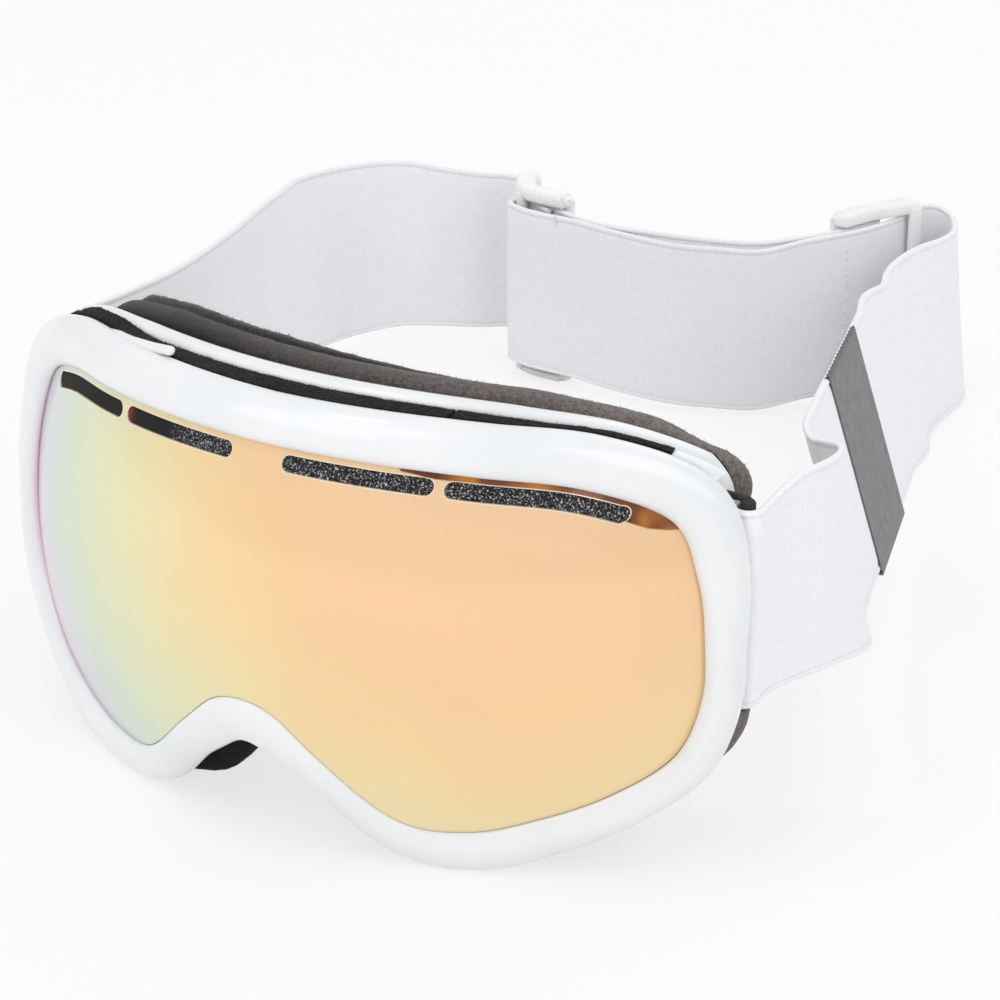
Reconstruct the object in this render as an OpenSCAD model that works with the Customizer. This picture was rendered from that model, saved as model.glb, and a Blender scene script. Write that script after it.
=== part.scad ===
// Ski goggles: a spherical double lens in a moulded frame, a face pad and an elastic strap with two sliders.
// The wearer looks along -Y, +X is the wearer's left, +Z is up and the goggles stand on Z = 0.

/* [Lens] */
// Width of the outer lens
lens_w = 165; // [155:1:175]
// Height of the outer lens, from its lower lobes to its top edge
lens_h = 77.5; // [72:0.5:82]
// Radius of the outer lens's round front face
lens_r = 104.5; // [100:0.5:115]
// Height of the lens's foremost point above its lower lobes
lens_rise = 33.5; // [30:0.5:37]
// Thickness of the outer lens
lens_t = 1.2; // [0.8:0.1:1.8]
// Thickness of the inner lens
inner_t = 0.8; // [0.5:0.1:1.4]
// Air gap between the two lenses
lens_gap = 4.5; // [3.5:0.1:6]
// Distance of the gasket's outer edge from the lens's edge
gasket_inset = 5.4; // [5.2:0.1:7]
// Width of the gasket between the lenses
gasket_w = 3.8; // [2.5:0.1:4.5]
// Play of the gasket and the slot pads at the lenses they sit on
glue_gap = 0.2; // [0.1:0.05:0.3]
// Height of a vent slot in the lens
slot_h = 3.2; // [2:0.1:3.6]
// Distance of a slot's middle line below the lens's top edge
slot_drop = 2.7; // [2.4:0.1:3]
// Distance from the middle of the lens to the first slot's round end
slot_start = 7.5; // [6:0.5:9]
// Length of a slot between the middles of its round ends
slot_long = 27.5; // [22:0.5:29]
// Distance between the starts of the two slots on one side
slot_pitch = 32.5; // [31:0.5:34]
// How far a foam pad reaches past its slot
slot_lap = 0.5; // [0.2:0.1:0.6]
// Thickness of the foam pads behind the slots
slot_pad_t = 1.5; // [1:0.1:1.8]

/* [Front frame] */
// Width of the bezel over the brow
bezel_top = 8.5; // [8:0.5:11]
// Width of the bezel at the upper corners
bezel_shoulder = 10; // [8:0.5:12]
// Width of the bezel at the temples
bezel_side = 6.2; // [5.6:0.2:8]
// Width of the bezel under the cheeks
bezel_lobe = 9.6; // [8:0.2:11]
// Width of the bezel beside the nose
bezel_nose_side = 9; // [8:0.2:9]
// Width of the bezel over the nose
bezel_nose = 11; // [8:0.2:11]
// Depth of the bezel behind the lens's edge
bezel_depth = 6.5; // [5.5:0.1:7]
// Gap round the lens's edge
lens_clear = 0.35; // [0.2:0.05:0.6]
// Width of the ledge behind the lens's edge
ledge_w = 4; // [3:0.1:4.8]
// Thickness of the ledge
ledge_t = 2.2; // [1.6:0.1:2.6]
// Gap between the lens and the ledge
ledge_gap = 0.5; // [0.4:0.1:0.8]
// Extra room in front of the ledge over the brow, for the slot pads
slot_room = 2.7; // [2.6:0.1:3.2]

/* [Rear frame] */
// Front of the rear rail behind the lens's foremost point, over the nose
rail_y = 21; // [19:0.5:24]
// Distance of the rail behind the lens's edge at its upper corners
face_drop = 7.8; // [7.1:0.1:11.4]
// Width of the rail
rail_w = 9; // [7:0.5:11]
// Thickness of the rail
rail_t = 5; // [4:0.5:6]
// Bevel along the rail's outer edges
rail_bevel = 1.2; // [0.5:0.1:1.6]
// Rise of the rail above the bezel over the brow
rail_rise = 1.7; // [0:0.1:3.5]
// Step of the rail inside the bezel where the brow meets the upper corners
rail_crest = 1; // [0:0.1:2]
// Step of the rail inside the bezel at the temples
rail_step = 8.6; // [8:0.1:9.2]
// Step of the rail inside the bezel under the cheeks
rail_lobe = 3.8; // [3.6:0.1:5]
// Length of each bridge between the front and the rear frame, in share of half the outline
bridge_span = 0.03; // [0.02:0.005:0.04]
// Gap at the seats of bridges and vent foam
seat_gap = 0.25; // [0.15:0.05:0.4]
// Set back of the vent foam from the bezel's outer edge
vent_inset = 0.4; // [0:0.1:3]
// Set back of the vent foam from the rail's outer edge over the brow
vent_tuck = 0.9; // [0.5:0.1:2]
// How far the vent foam bulges out beside the nose
nose_bulge = 5; // [0:0.5:5]
// Depth of the vent foam and the bridges in the channel
vent_depth = 6; // [4:0.5:7]

/* [Face pad] */
// Thickness of the dark backing layer
backing_t = 1.5; // [1:0.1:2.5]
// Thickness of the face foam
foam_t = 10; // [7:0.5:13]
// Thickness of the fleece
fleece_t = 3.5; // [2:0.1:4.5]
// Width of the face pad
foam_w = 14; // [11:0.5:16]
// How far the face foam stands out past the rail
foam_flare = 1.2; // [0:0.1:2]
// How far the face foam stands out past the rail beside the nose
nose_flare = 2; // [0:0.5:4]
// How far the face foam is tucked in behind the rail at the upper corners
pad_tuck = 4.2; // [1:0.1:5]
// Gap between the layers of the pad
layer_gap = 0.25; // [0.15:0.05:0.4]

/* [Strap] */
// Width of the strap
strap_w = 46; // [38:1:48]
// Thickness of the strap
strap_t = 1.8; // [1.4:0.1:2.2]
// Gap between the two layers of strap and at the slider bars
strap_gap = 0.5; // [0.4:0.1:0.8]
// Gap at the open ends of the strap's folds
fold_gap = 0.7; // [0.6:0.1:1.2]
// Height of the strap's middle at the frame
post_z = 57; // [55:0.5:59]
// Diameter of the strap posts
post_d = 3.2; // [2.6:0.1:4]
// Distance of a strap post from the rail's side
post_reach = 4.4; // [4.3:0.1:5.5]
// Thickness of the arms that hold a strap post
post_arm = 1.6; // [1.2:0.1:3]
// Gap between a strap's loop and its post or bar
loop_gap = 0.3; // [0.2:0.05:0.5]
// Gap between the strap's edges and the arms or slider rails beside them
edge_gap = 0.5; // [0.4:0.1:1]

/* [Back of the strap] */
// Bow radius of the doubled strap
bow_r = 60; // [57:0.5:64]
// Place of the bow's centre across the goggles
bow_x = -52; // [-54:0.5:-50]
// Place of the bow's centre behind the lens
bow_y = 309; // [306:1:312]
// Angle of the left slider round the bow, from its middle
left_angle = 34; // [32:1:37]
// Angle of the right slider round the bow, from its middle
right_angle = 72; // [68:1:74]
// Length of strap between a slider's middle and the fold beside it, along the bow
fold_reach = 16; // [15.5:0.5:17]

/* [Sliders] */
// Length of a slider along the strap
slider_len = 28; // [22:0.5:29]
// Diameter of a slider's bars
slider_bar = 3; // [2.4:0.1:3.4]
// Wall of the slider's rails round its bars
slider_wall = 0.5; // [0.3:0.1:0.8]
// Height of a slider's upper and lower rails
slider_rail = 3.6; // [2.5:0.1:5]
// Height of the grip ribs on a slider
rib_h = 0.5; // [0.3:0.1:0.8]
// Number of grip ribs on a slider's rail
rib_count = 11; // [5:2:15]

/* [Card sleeve] */
// Length of the card sleeve along the strap
card_len = 50; // [30:1:54]
// Thickness of the card
card_t = 0.6; // [0.4:0.1:1]
// Play of the card on the strap
card_gap = 0.5; // [0.4:0.1:0.8]

/* [Hidden] */
$fn = 64;

// Right half of the lens's outline from the brow to the nose, in shares of half its width and of its height
lens_shape = [[0, 1], [0.29, 0.995], [0.53, 0.98], [0.74, 0.95], [0.91, 0.86], [0.975, 0.71], [1, 0.55],
    [1, 0.38], [0.95, 0.22], [0.825, 0.115], [0.68, 0.048], [0.535, 0.003], [0.375, 0.023], [0.195, 0.2],
    [0.09, 0.3], [0, 0.325]];
// Stations along the outline between two of its points
loop_steps = 4;

// A point on a smooth curve from b to c, with a and d the points before and after
function curve_point(a, b, c, d, t) =
    b + t / 2 * (c - a + t * (2 * a - 5 * b + 4 * c - d + t * (3 * b - a - 3 * c + d)));
function closed_curve(p, steps) = let (n = len(p))
    [for (i = [0:n - 1]) for (s = [0:steps - 1])
        curve_point(p[(i + n - 1) % n], p[i], p[(i + 1) % n], p[(i + 2) % n], s / steps)];
function open_curve(p, steps) = let (n = len(p))
    [for (i = [0:n - 2]) for (s = [0:steps - 1])
        curve_point(p[max(i - 1, 0)], p[i], p[i + 1], p[min(i + 2, n - 1)], s / steps), p[n - 1]];

lens_base = bezel_lobe;
lens_half = [for (p = lens_shape) [p.x * lens_w / 2, lens_base + p.y * lens_h]];
lens_loop = closed_curve(
    concat(lens_half, [for (i = [len(lens_half) - 2:-1:1]) [-lens_half[i].x, lens_half[i].y]]), loop_steps);
stations = len(lens_loop);
half_way = stations / 2;

// Outline station u, which may lie between two stations, moved outwards by d; gives [x, z]
function wrap(i) = ((i % stations) + stations) % stations;
function outward(i) = let (t = lens_loop[wrap(i + 1)] - lens_loop[wrap(i - 1)]) [-t.y, t.x] / norm(t);
function moved(i, d) = lens_loop[wrap(i)] + d * outward(i);
function out(u, d) = let (i = floor(u), f = u - i) (1 - f) * moved(i, d) + f * moved(i + 1, d);
// Share of the way from the brow, 0, round to the nose, 1
function share(u) = let (s = abs(u) % stations) min(s, stations - s) / half_way;

// Depth of a sphere of radius r, centred with the lens, at a point [x, z]
function sphere_y(r, p) = lens_r - sqrt(r * r - p.x * p.x - pow(p.y - lens_base - lens_rise, 2));
function place(u, d, y) = let (p = out(u, d)) [p.x, y, p.y];

// Shares of the brow, arch, shoulder, crest, corner, temple, jaw, cheek, side of the nose and nose
brow_at = 0;
arch_at = 0.13;
shoulder_at = 0.2;
crest_at = 0.25;
corner_at = 0.27;
temple_at = 0.43;
jaw_at = 0.58;
cheek_at = 0.73;
nose_side_at = 0.87;
nose_at = 1;
// Shares where the vent foam's bulge starts and is full, and the part of it left beside the nose
bulge_start = 0.785;
bulge_at = 0.83;
bulge_fade = 0.7;
function bezel_w(u) = lookup(share(u), [[brow_at, bezel_top], [corner_at, bezel_shoulder],
    [temple_at, bezel_side], [cheek_at, bezel_lobe], [nose_side_at, bezel_nose_side],
    [nose_at, bezel_nose]]);
// Shares between which the rail runs along the temple, inside the strap
temple_span = [temple_at - 0.12, temple_at + 0.07];
function rail_out(u) = bezel_w(u) + lookup(share(u), [[brow_at, rail_rise], [arch_at, 0.6 * rail_rise],
    [crest_at, -rail_crest], [temple_span[0], -rail_step], [temple_span[1], -rail_step],
    [jaw_at, -rail_lobe], [cheek_at, -rail_lobe], [nose_at, -rail_lobe / 2]]);
corner = out(corner_at * half_way, 0);
rail_fall = sphere_y(lens_r, corner) + face_drop - rail_y;
function rail_front(p) = rail_y + rail_fall * pow(p.x / corner.x, 2);

// Bezel section from the lens's edge over the crown to the back, in shares of its width and depth
bezel_crown = [[0.22, -0.2], [0.47, -0.13], [0.74, 0.1], [0.93, 0.42], [1, 0.72], [0.98, 1]];
bezel_lip = -0.1;
function brow_room(u) = ledge_gap + slot_room * lookup(share(u), [[crest_at, 1], [temple_span[0], 0]]);
function ledge_y(u, d) = sphere_y(lens_r - lens_t, out(u, d)) + brow_room(u);
function bezel_back(u) = max(ledge_y(u, lens_clear) + ledge_t, sphere_y(lens_r, out(u, 0)) + bezel_depth);
function bezel_ring(u) = let (w = bezel_w(u), e = sphere_y(lens_r, out(u, 0)))
    concat([place(u, lens_clear, e + bezel_lip * bezel_depth)],
        [for (c = bezel_crown) place(u, c.x * w, e + c.y * bezel_depth)],
        [place(u, lens_clear + ledge_t, ledge_y(u, lens_clear) + ledge_t),
         place(u, -ledge_w, ledge_y(u, -ledge_w) + ledge_t), place(u, -ledge_w, ledge_y(u, -ledge_w)),
         place(u, lens_clear, ledge_y(u, lens_clear))]);

// A ring section in the face's curve: width and depth points from the rail's flared edge and its front
function pad_flare(u) = lookup(share(u), [[arch_at, 0], [shoulder_at, -pad_tuck / 3], [crest_at, -pad_tuck],
    [temple_span[0], -pad_tuck], [temple_at, 0], [temple_span[1], 0], [jaw_at, foam_flare],
    [cheek_at, foam_flare], [nose_side_at, nose_flare], [nose_at, foam_flare]]);
function face_ring(u, section, flared) =
    [for (s = section) let (p = out(u, rail_out(u) + (flared ? pad_flare(u) : 0) + s.x))
        [p.x, rail_front(p) + s.y, p.y]];
rail_section = [[-rail_w, 0], [-rail_bevel, 0], [0, rail_bevel], [0, rail_t - rail_bevel],
    [-rail_bevel, rail_t], [-rail_w, rail_t]];
backing_y = rail_t + layer_gap;
foam_y = backing_y + backing_t + layer_gap;
fleece_y = foam_y + foam_t + layer_gap;
backing_section = [for (p = [[-rail_w, 0], [-rail_bevel, 0], [-rail_bevel, backing_t], [-rail_w, backing_t]])
    [p.x, backing_y + p.y]];
// Pad sections in shares of the pad's width inwards and of the layer's thickness, with drawn-in sides
foam_shape = [[0.92, 0], [0.1, 0], [0.02, 0.18], [0, 0.4], [0.03, 0.65], [0.1, 0.88], [0.2, 1], [0.88, 1],
    [0.97, 0.8], [0.94, 0.4]];
fleece_shape = [[0.88, 0], [0.1, 0], [0.06, 0.35], [0.12, 0.75], [0.28, 1], [0.68, 1], [0.86, 0.75],
    [0.92, 0.35]];
function pad_section(shape, y, t) = [for (s = shape) [-s.x * foam_w, y + s.y * t]];

// Skins rings of points into one closed solid, round a loop or along an open run with flat ends
module skin(rings, loop) {
    n = len(rings);
    m = len(rings[0]);
    sides = [for (k = [0:loop ? n - 1 : n - 2]) for (j = [0:m - 1])
        let (a = k * m, b = (k + 1) % n * m, j2 = (j + 1) % m)
            each [[a + j, a + j2, b + j2], [a + j, b + j2, b + j]]];
    last = (n - 1) * m;
    ends = loop ? [] : [for (j = [1:m - 2]) each [[0, j + 1, j], [last, last + j, last + j + 1]]];
    polyhedron([for (r = rings) each r], concat(sides, ends));
}
module full_loop(section, flared) skin([for (u = [0:stations - 1]) face_ring(u, section, flared)], true);

// A block in the channel between the front and the rear frame, from share a to share b of the outline
channel_step = 0.02;
function channel_ring(u, inset, bulge) = let (w = bezel_w(u) - inset, low = w - vent_depth,
        swell = bulge * lookup(share(u),
            [[bulge_start, 0], [bulge_at, 1], [nose_side_at, bulge_fade], [nose_at, 0]]),
        top = w + swell, high = max(w, rail_out(u) - vent_tuck) + swell)
    [place(u, low, bezel_back(u) + seat_gap), place(u, top, bezel_back(u) + seat_gap),
     place(u, high, rail_front(out(u, high)) - seat_gap), place(u, low, rail_front(out(u, low)) - seat_gap)];
module channel(a, b, inset, bulge = 0) {
    n = max(1, ceil(abs(b - a) / channel_step));
    skin([for (i = [0:n]) channel_ring((a + (b - a) * i / n) * half_way, inset, bulge)], false);
}

// The lens stack: a plate cut from a round shell by the outline moved outwards by d
lens_reach = lens_r * 0.75;
module outline_block(d) rotate([90, 0, 0]) translate([0, 0, -lens_reach])
    linear_extrude(lens_reach + lens_r / 4) polygon([for (i = [0:stations - 1]) moved(i, d)]);
module shell(outer, inner) translate([0, lens_r, lens_base + lens_rise]) difference() {
    sphere(outer);
    sphere(inner);
}
inner_r = lens_r - lens_t - lens_gap;
function top_edge(x) = lookup(x, [for (i = [0:loop_steps * 5]) lens_loop[i]]);
module slot_block(start, lap) {
    half = slot_h / 2 + lap;
    ends = [start, start + slot_long];
    xs = [for (i = [0:loop_steps]) start + slot_long * i / loop_steps];
    upper = [for (x = xs) [x, top_edge(x) - slot_drop]];
    rotate([90, 0, 0]) translate([0, 0, -lens_reach]) linear_extrude(lens_reach + lens_r / 4) {
        polygon(concat([for (p = upper) p + [0, half]],
            [for (i = [len(upper) - 1:-1:0]) upper[i] - [0, half]]));
        for (x = ends) translate([x, top_edge(x) - slot_drop]) circle(half);
    }
}
module slots(lap) for (side = [0, 1], i = [0, 1])
    mirror([side, 0, 0]) slot_block(slot_start + i * slot_pitch, lap);

// Strap posts: the rail's side at a height, and the post's place
temple_line = [for (u = [loop_steps * 10:-1:loop_steps * 4]) let (p = out(u, rail_out(u))) [p.y, p.x]];
function rail_side(z) = lookup(z, temple_line);
strap_z = post_z - strap_w / 2;
post_steps = 12;
post_x = max([for (i = [0:post_steps]) rail_side(strap_z + strap_w * i / post_steps)]) + post_reach;
bore_r = post_d / 2 + loop_gap;
// The loop's wall is a little thicker than the strap, which runs inside it
loop_ease = 0.2;
loop_r = bore_r + strap_t + loop_ease;
run_x = post_x + loop_r - strap_t / 2 - loop_ease / 3;
temple_u = temple_span * half_way;
temple_back = max([for (u = [floor(temple_u[0]):ceil(temple_u[1])]) bezel_back(u)]);
post_y = temple_back + loop_r + edge_gap;
arm_half = post_d * 0.75;

// The bow at the back: two layers of strap round one centre
outer_r = bow_r - strap_t - strap_gap;
back_z = slider_rail + edge_gap;
function bow_point(r, angle) = [bow_x + r * sin(angle), bow_y - r * cos(angle)];
function bow_turn(length) = length / bow_r * 180 / PI;
fold_turn = bow_turn(fold_reach);
gap_turn = bow_turn(fold_gap / 2);
right_fold = right_angle + fold_turn;
left_fold = -left_angle - fold_turn;
bar_r = slider_bar / 2;
bar_bore = bar_r + loop_gap;
bar_loop = bar_bore + strap_t + loop_ease;
loop_run = bar_loop - strap_t / 2 + loop_ease;
lap_turn = bow_turn(strap_t / 4);
// Distance of the bars from the bow's centre: each sewn loop's bar, and the bars beside both layers
left_loop_r = bow_r + loop_run;
inner_bar_r = outer_r - strap_t / 2 - strap_gap - bar_r;
right_loop_r = outer_r - loop_run;
outer_bar_r = bow_r + strap_t / 2 + strap_gap + bar_r;
slider_turn = bow_turn(slider_len / 2);
slider_top = 2 * back_z + strap_w - slider_rail;

// Strap routes from the frame to the folds at the back: [x, y, lower edge's height, upper edge's lean]
tangent_turn = 4;
function bow_stop(r, angle) = let (p = bow_point(r, angle)) [p.x, p.y, back_z, 0];
straight_start = 8;
right_route = concat(
    [[run_x, post_y, strap_z, 0], [run_x, post_y + straight_start, strap_z, 0]],
    [[93, 78, 33, -2], [93.5, 92, 30, -7], [90, 103, 27, -12], [83, 115, 24.2, -14],
     [76, 134, 21.5, -14], [67, 161, 17.8, -14], [58, 188, 14.1, -14], [49, 215, 10.4, -14],
     [43, 233, 7.5, -15], [38, 253, 3.5, -14], [31, 270, 1.2, -13], [29, 285, 0.6, -12],
     [28.5, 297, 0.6, -9], [25, 306, 1.2, -5], [18.5, 312, 2.6, -2], [12, 313.5, 3.7, 0]],
    [bow_stop(bow_r, right_fold + gap_turn + tangent_turn), bow_stop(bow_r, right_fold + gap_turn)]);
left_route = concat(
    [[-run_x, post_y, strap_z, 0], [-run_x, post_y + straight_start, strap_z, 0]],
    [[-91, 90, 31, 0], [-97, 117, 27, -1], [-112, 158, 20, -2], [-127, 199, 13, -5], [-133, 222, 8.5, -9],
     [-136, 238, 5.5, -13], [-135, 250, 4.1, -14], [-129, 260, 4.1, -12], [-120, 265.5, 4.1, -6],
     [-110, 270.5, 4.1, -2], [-103, 275, 4.1, 0]],
    [bow_stop(outer_r, left_fold - gap_turn - tangent_turn), bow_stop(outer_r, left_fold - gap_turn)]);
route_steps = 4;

// The four corners of a flat band at stop i of a route, t thick and w high, lowered by drop
function band_ring(route, i, t, w, drop) = let (
        a = route[max(i - 1, 0)], b = route[min(i + 1, len(route) - 1)], p = route[i],
        run = [b.x - a.x, b.y - a.y] / norm([b.x - a.x, b.y - a.y]), side = [run.y, -run.x],
        lean = p[3] / strap_w * side, low = [p.x, p.y] - drop * lean, high = [p.x, p.y] + (w - drop) * lean)
    [[low.x + side.x * t / 2, low.y + side.y * t / 2, p[2] - drop],
     [high.x + side.x * t / 2, high.y + side.y * t / 2, p[2] - drop + w],
     [high.x - side.x * t / 2, high.y - side.y * t / 2, p[2] - drop + w],
     [low.x - side.x * t / 2, low.y - side.y * t / 2, p[2] - drop]];
module band(route, t, w, drop) skin([for (i = [0:len(route) - 1]) band_ring(route, i, t, w, drop)], false);

// The card sits in the middle of the right strap's straight stretch, between these stops of its route
card_from = right_route[6];
card_to = right_route[9];
card_run = norm([for (k = [0:2]) card_to[k] - card_from[k]]);
function card_stop(d) = let (s = 0.5 + d / card_run) card_from * (1 - s) + card_to * s;

frame_white = [0.93, 0.94, 0.95];
strap_white = [0.95, 0.95, 0.97];
foam_dark = [0.13, 0.12, 0.12];
foam_brown = [0.32, 0.29, 0.28];

module front_frame() color(frame_white) skin([for (u = [0:stations - 1]) bezel_ring(u)], true);
module rear_frame() color(frame_white) full_loop(rail_section, false);

bridge_shares = [0.25, 0.58, 0.72, 0.88];
bridge_inset = 0.6;
module frame_bridges() color(frame_white) for (side = [-1, 1], s = bridge_shares)
    channel(side * (s - side * bridge_span / 2), side * (s + side * bridge_span / 2), bridge_inset);

module outer_lens() color([0.95, 0.75, 0.45, 0.8]) intersection() {
    shell(lens_r, lens_r - lens_t);
    difference() {
        outline_block(0);
        slots(0);
    }
}
module inner_lens() color([0.85, 0.6, 0.35, 0.6]) intersection() {
    shell(inner_r, inner_r - inner_t);
    outline_block(-gasket_inset);
}
module lens_gasket() color(foam_dark) intersection() {
    shell(lens_r - lens_t - glue_gap, inner_r + glue_gap);
    difference() {
        outline_block(-gasket_inset);
        outline_block(-gasket_inset - gasket_w);
    }
}
module slot_pads() color([0.35, 0.35, 0.36]) intersection() {
    shell(lens_r - lens_t - glue_gap, lens_r - lens_t - glue_gap - slot_pad_t);
    slots(slot_lap);
}

// Vent foam lies between the bridges, clear of them by a small share of the outline
foam_clear = 0.002;
function after(i) = bridge_shares[i] + bridge_span / 2 + foam_clear;
function before(i) = bridge_shares[i] - bridge_span / 2 - foam_clear;
vent_split = 0.1;
module top_vent_foam() color(foam_dark) channel(-vent_split, vent_split, vent_inset);
module shoulder_vent_foam() color(foam_dark) {
    channel(vent_split + foam_clear, before(0), vent_inset);
    channel(-before(0), -vent_split - foam_clear, vent_inset);
}
module lower_vent_foam() color(foam_dark) for (i = [1, 2]) {
    channel(after(i), before(i + 1), vent_inset, nose_bulge);
    channel(-before(i + 1), -after(i), vent_inset, nose_bulge);
}
module nose_vent_foam() color(foam_dark) channel(after(3), 2 - after(3), vent_inset, nose_bulge);

module foam_backing() color([0.05, 0.05, 0.05]) full_loop(backing_section, false);
module face_foam() color(foam_brown) full_loop(pad_section(foam_shape, foam_y, foam_t), true);
module face_fleece() color(foam_dark) full_loop(pad_section(fleece_shape, fleece_y, fleece_t), true);

// A post between two arms that stand out from the rail's side
module strap_post() color(frame_white) {
    low = strap_z - edge_gap - post_arm;
    high = strap_z + strap_w + edge_gap;
    for (z = [low, high]) translate([0, post_y, z]) {
        inner = max(rail_side(z), rail_side(z + post_arm)) + seat_gap;
        translate([inner, -arm_half, 0]) cube([post_x - inner, 2 * arm_half, post_arm]);
        translate([post_x, 0, 0]) cylinder(r = arm_half, h = post_arm);
    }
    translate([post_x, post_y, low]) cylinder(d = post_d, h = high - low + post_arm);
}
module strap_post_right() strap_post();
module strap_post_left() mirror([1, 0, 0]) strap_post();

module side_strap(route, x) color(strap_white) difference() {
    union() {
        translate([x, post_y, strap_z]) cylinder(r = loop_r, h = strap_w);
        band(open_curve(route, route_steps), strap_t, strap_w, 0);
    }
    translate([x, post_y, strap_z - edge_gap]) cylinder(r = bore_r, h = strap_w + 2 * edge_gap);
}
module strap_right() side_strap(right_route, post_x);
module strap_left() side_strap(left_route, -post_x);

// A piece of the bow, t thick at radius r and h high, between two angles from its middle
module bow_band(r, t, h, from, to) translate([bow_x, bow_y, 0]) rotate([0, 0, from - 90])
    rotate_extrude(angle = to - from) translate([r - t / 2, 0]) square([t, h]);
module at_bow(r, angle) {
    p = bow_point(r, angle);
    translate([p.x, p.y, 0]) children();
}
module back_strap(r, from, to, loop_at, loop_angle) color(strap_white) difference() {
    translate([0, 0, back_z]) {
        bow_band(r, strap_t, strap_w, from, to);
        at_bow(loop_at, loop_angle) cylinder(r = bar_loop, h = strap_w);
    }
    at_bow(loop_at, loop_angle) translate([0, 0, back_z - edge_gap])
        cylinder(r = bar_bore, h = strap_w + 2 * edge_gap);
}
module strap_back_inner()
    back_strap(bow_r, lap_turn - left_angle, right_fold - gap_turn, left_loop_r, -left_angle);
module strap_back_outer()
    back_strap(outer_r, left_fold + gap_turn, right_angle - lap_turn, right_loop_r, right_angle);

// Three upright bars between two ribbed rails that follow the bow
module slider(loop_at, bars_at, angle) color([0.95, 0.95, 0.92]) {
    reach = concat([loop_at], bars_at);
    middle = (min(reach) + max(reach)) / 2;
    depth = max(reach) - min(reach) + slider_bar + 2 * slider_wall;
    bar_turn = slider_turn - bow_turn(bar_r + slider_wall);
    for (z = [0, slider_top]) translate([0, 0, z])
        bow_band(middle, depth, slider_rail, angle - slider_turn, angle + slider_turn);
    translate([0, 0, slider_rail / 2]) {
        at_bow(loop_at, angle) cylinder(r = bar_r, h = slider_top);
        for (i = [0, 1]) at_bow(bars_at[i], angle + (2 * i - 1) * bar_turn)
            cylinder(r = bar_r, h = slider_top);
    }
    pitch = 2 * slider_turn / rib_count;
    for (i = [0:rib_count - 1]) translate([0, 0, slider_top + slider_rail - rib_h])
        bow_band(middle, depth - 2 * rib_h, 2 * rib_h, angle - slider_turn + (i + 0.25) * pitch,
            angle - slider_turn + (i + 0.75) * pitch);
}
module slider_left() slider(left_loop_r, [inner_bar_r, inner_bar_r], -left_angle);
module slider_right() slider(right_loop_r, [inner_bar_r, outer_bar_r], right_angle);

module card_sleeve() color([0.42, 0.42, 0.42]) difference() {
    band([card_stop(-card_len / 2), card_stop(card_len / 2)], strap_t + 2 * (card_gap + card_t),
        strap_w + 2 * (card_gap + card_t), card_gap + card_t);
    band([card_stop(-card_len), card_stop(card_len)], strap_t + 2 * card_gap,
        strap_w + 2 * card_gap, card_gap);
}

front_frame();
rear_frame();
frame_bridges();
outer_lens();
inner_lens();
lens_gasket();
slot_pads();
top_vent_foam();
shoulder_vent_foam();
lower_vent_foam();
nose_vent_foam();
foam_backing();
face_foam();
face_fleece();
strap_post_right();
strap_post_left();
strap_right();
strap_left();
strap_back_inner();
strap_back_outer();
slider_right();
slider_left();
card_sleeve();
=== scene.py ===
"""Looks of the ski goggles: moulded frame, mirrored lens, foam pad, elastic strap, sliders and card."""
import math
from collections import Counter

import bmesh
import bpy
import numpy as np
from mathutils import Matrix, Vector, geometry, noise

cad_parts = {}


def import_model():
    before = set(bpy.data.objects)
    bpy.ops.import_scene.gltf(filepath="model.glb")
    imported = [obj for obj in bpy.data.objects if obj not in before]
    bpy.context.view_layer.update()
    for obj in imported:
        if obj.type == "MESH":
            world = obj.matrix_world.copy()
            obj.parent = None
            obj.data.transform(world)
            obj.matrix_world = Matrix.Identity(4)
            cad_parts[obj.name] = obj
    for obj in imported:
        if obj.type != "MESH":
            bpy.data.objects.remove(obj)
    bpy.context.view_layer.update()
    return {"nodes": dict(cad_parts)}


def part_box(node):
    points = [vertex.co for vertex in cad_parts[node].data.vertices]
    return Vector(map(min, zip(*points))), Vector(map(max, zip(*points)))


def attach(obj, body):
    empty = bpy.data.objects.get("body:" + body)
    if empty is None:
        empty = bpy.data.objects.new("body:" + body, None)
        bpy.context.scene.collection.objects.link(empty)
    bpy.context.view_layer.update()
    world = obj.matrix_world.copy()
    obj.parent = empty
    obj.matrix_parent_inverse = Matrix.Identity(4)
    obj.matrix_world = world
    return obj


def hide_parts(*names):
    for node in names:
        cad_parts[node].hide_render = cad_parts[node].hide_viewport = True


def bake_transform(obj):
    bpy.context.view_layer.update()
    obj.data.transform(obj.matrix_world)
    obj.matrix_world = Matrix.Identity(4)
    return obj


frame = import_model()

# Sizes in millimetres, as the solids have them
MM = 0.001
LENS_W = 165
LENS_H = 77.5
LENS_R = 104.5
LENS_T = 1.2
LENS_BASE = 9.6
LENS_MID = LENS_BASE + 33.5
SLOT_H = 3.2
SLOT_DROP = 2.7
SLOT_START = 7.5
SLOT_LONG = 27.5
SLOT_PITCH = 32.5
SLOT_PAD_T = 1.5
GLUE_GAP = 0.2
BEZEL_DEPTH = 6.5
LENS_CLEAR = 0.35
LEDGE_W = 4
LEDGE_T = 2.2
LEDGE_GAP = 0.5
SLOT_ROOM = 2.7
RAIL_Y = 21
FACE_DROP = 7.8
RAIL_W = 9
RAIL_T = 5
SEAT_GAP = 0.25
VENT_INSET = 0.4
VENT_TUCK = 0.9
VENT_DEPTH = 6
BACKING_T = 1.5
FOAM_T = 10
FLEECE_T = 3.5
FOAM_W = 14
FOAM_FLARE = 1.2
NOSE_FLARE = 2
NOSE_BULGE = 5
PAD_TUCK = 4.2
LAYER_GAP = 0.25
STRAP_W = 46
STRAP_T = 1.8
STRAP_GAP = 0.5
POST_D = 3.2
POST_ARM = 1.6
LOOP_GAP = 0.3
LOOP_EASE = 0.2
BOW_R = 60
BOW = (-52, 309)
LEFT_ANGLE = 34
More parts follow.
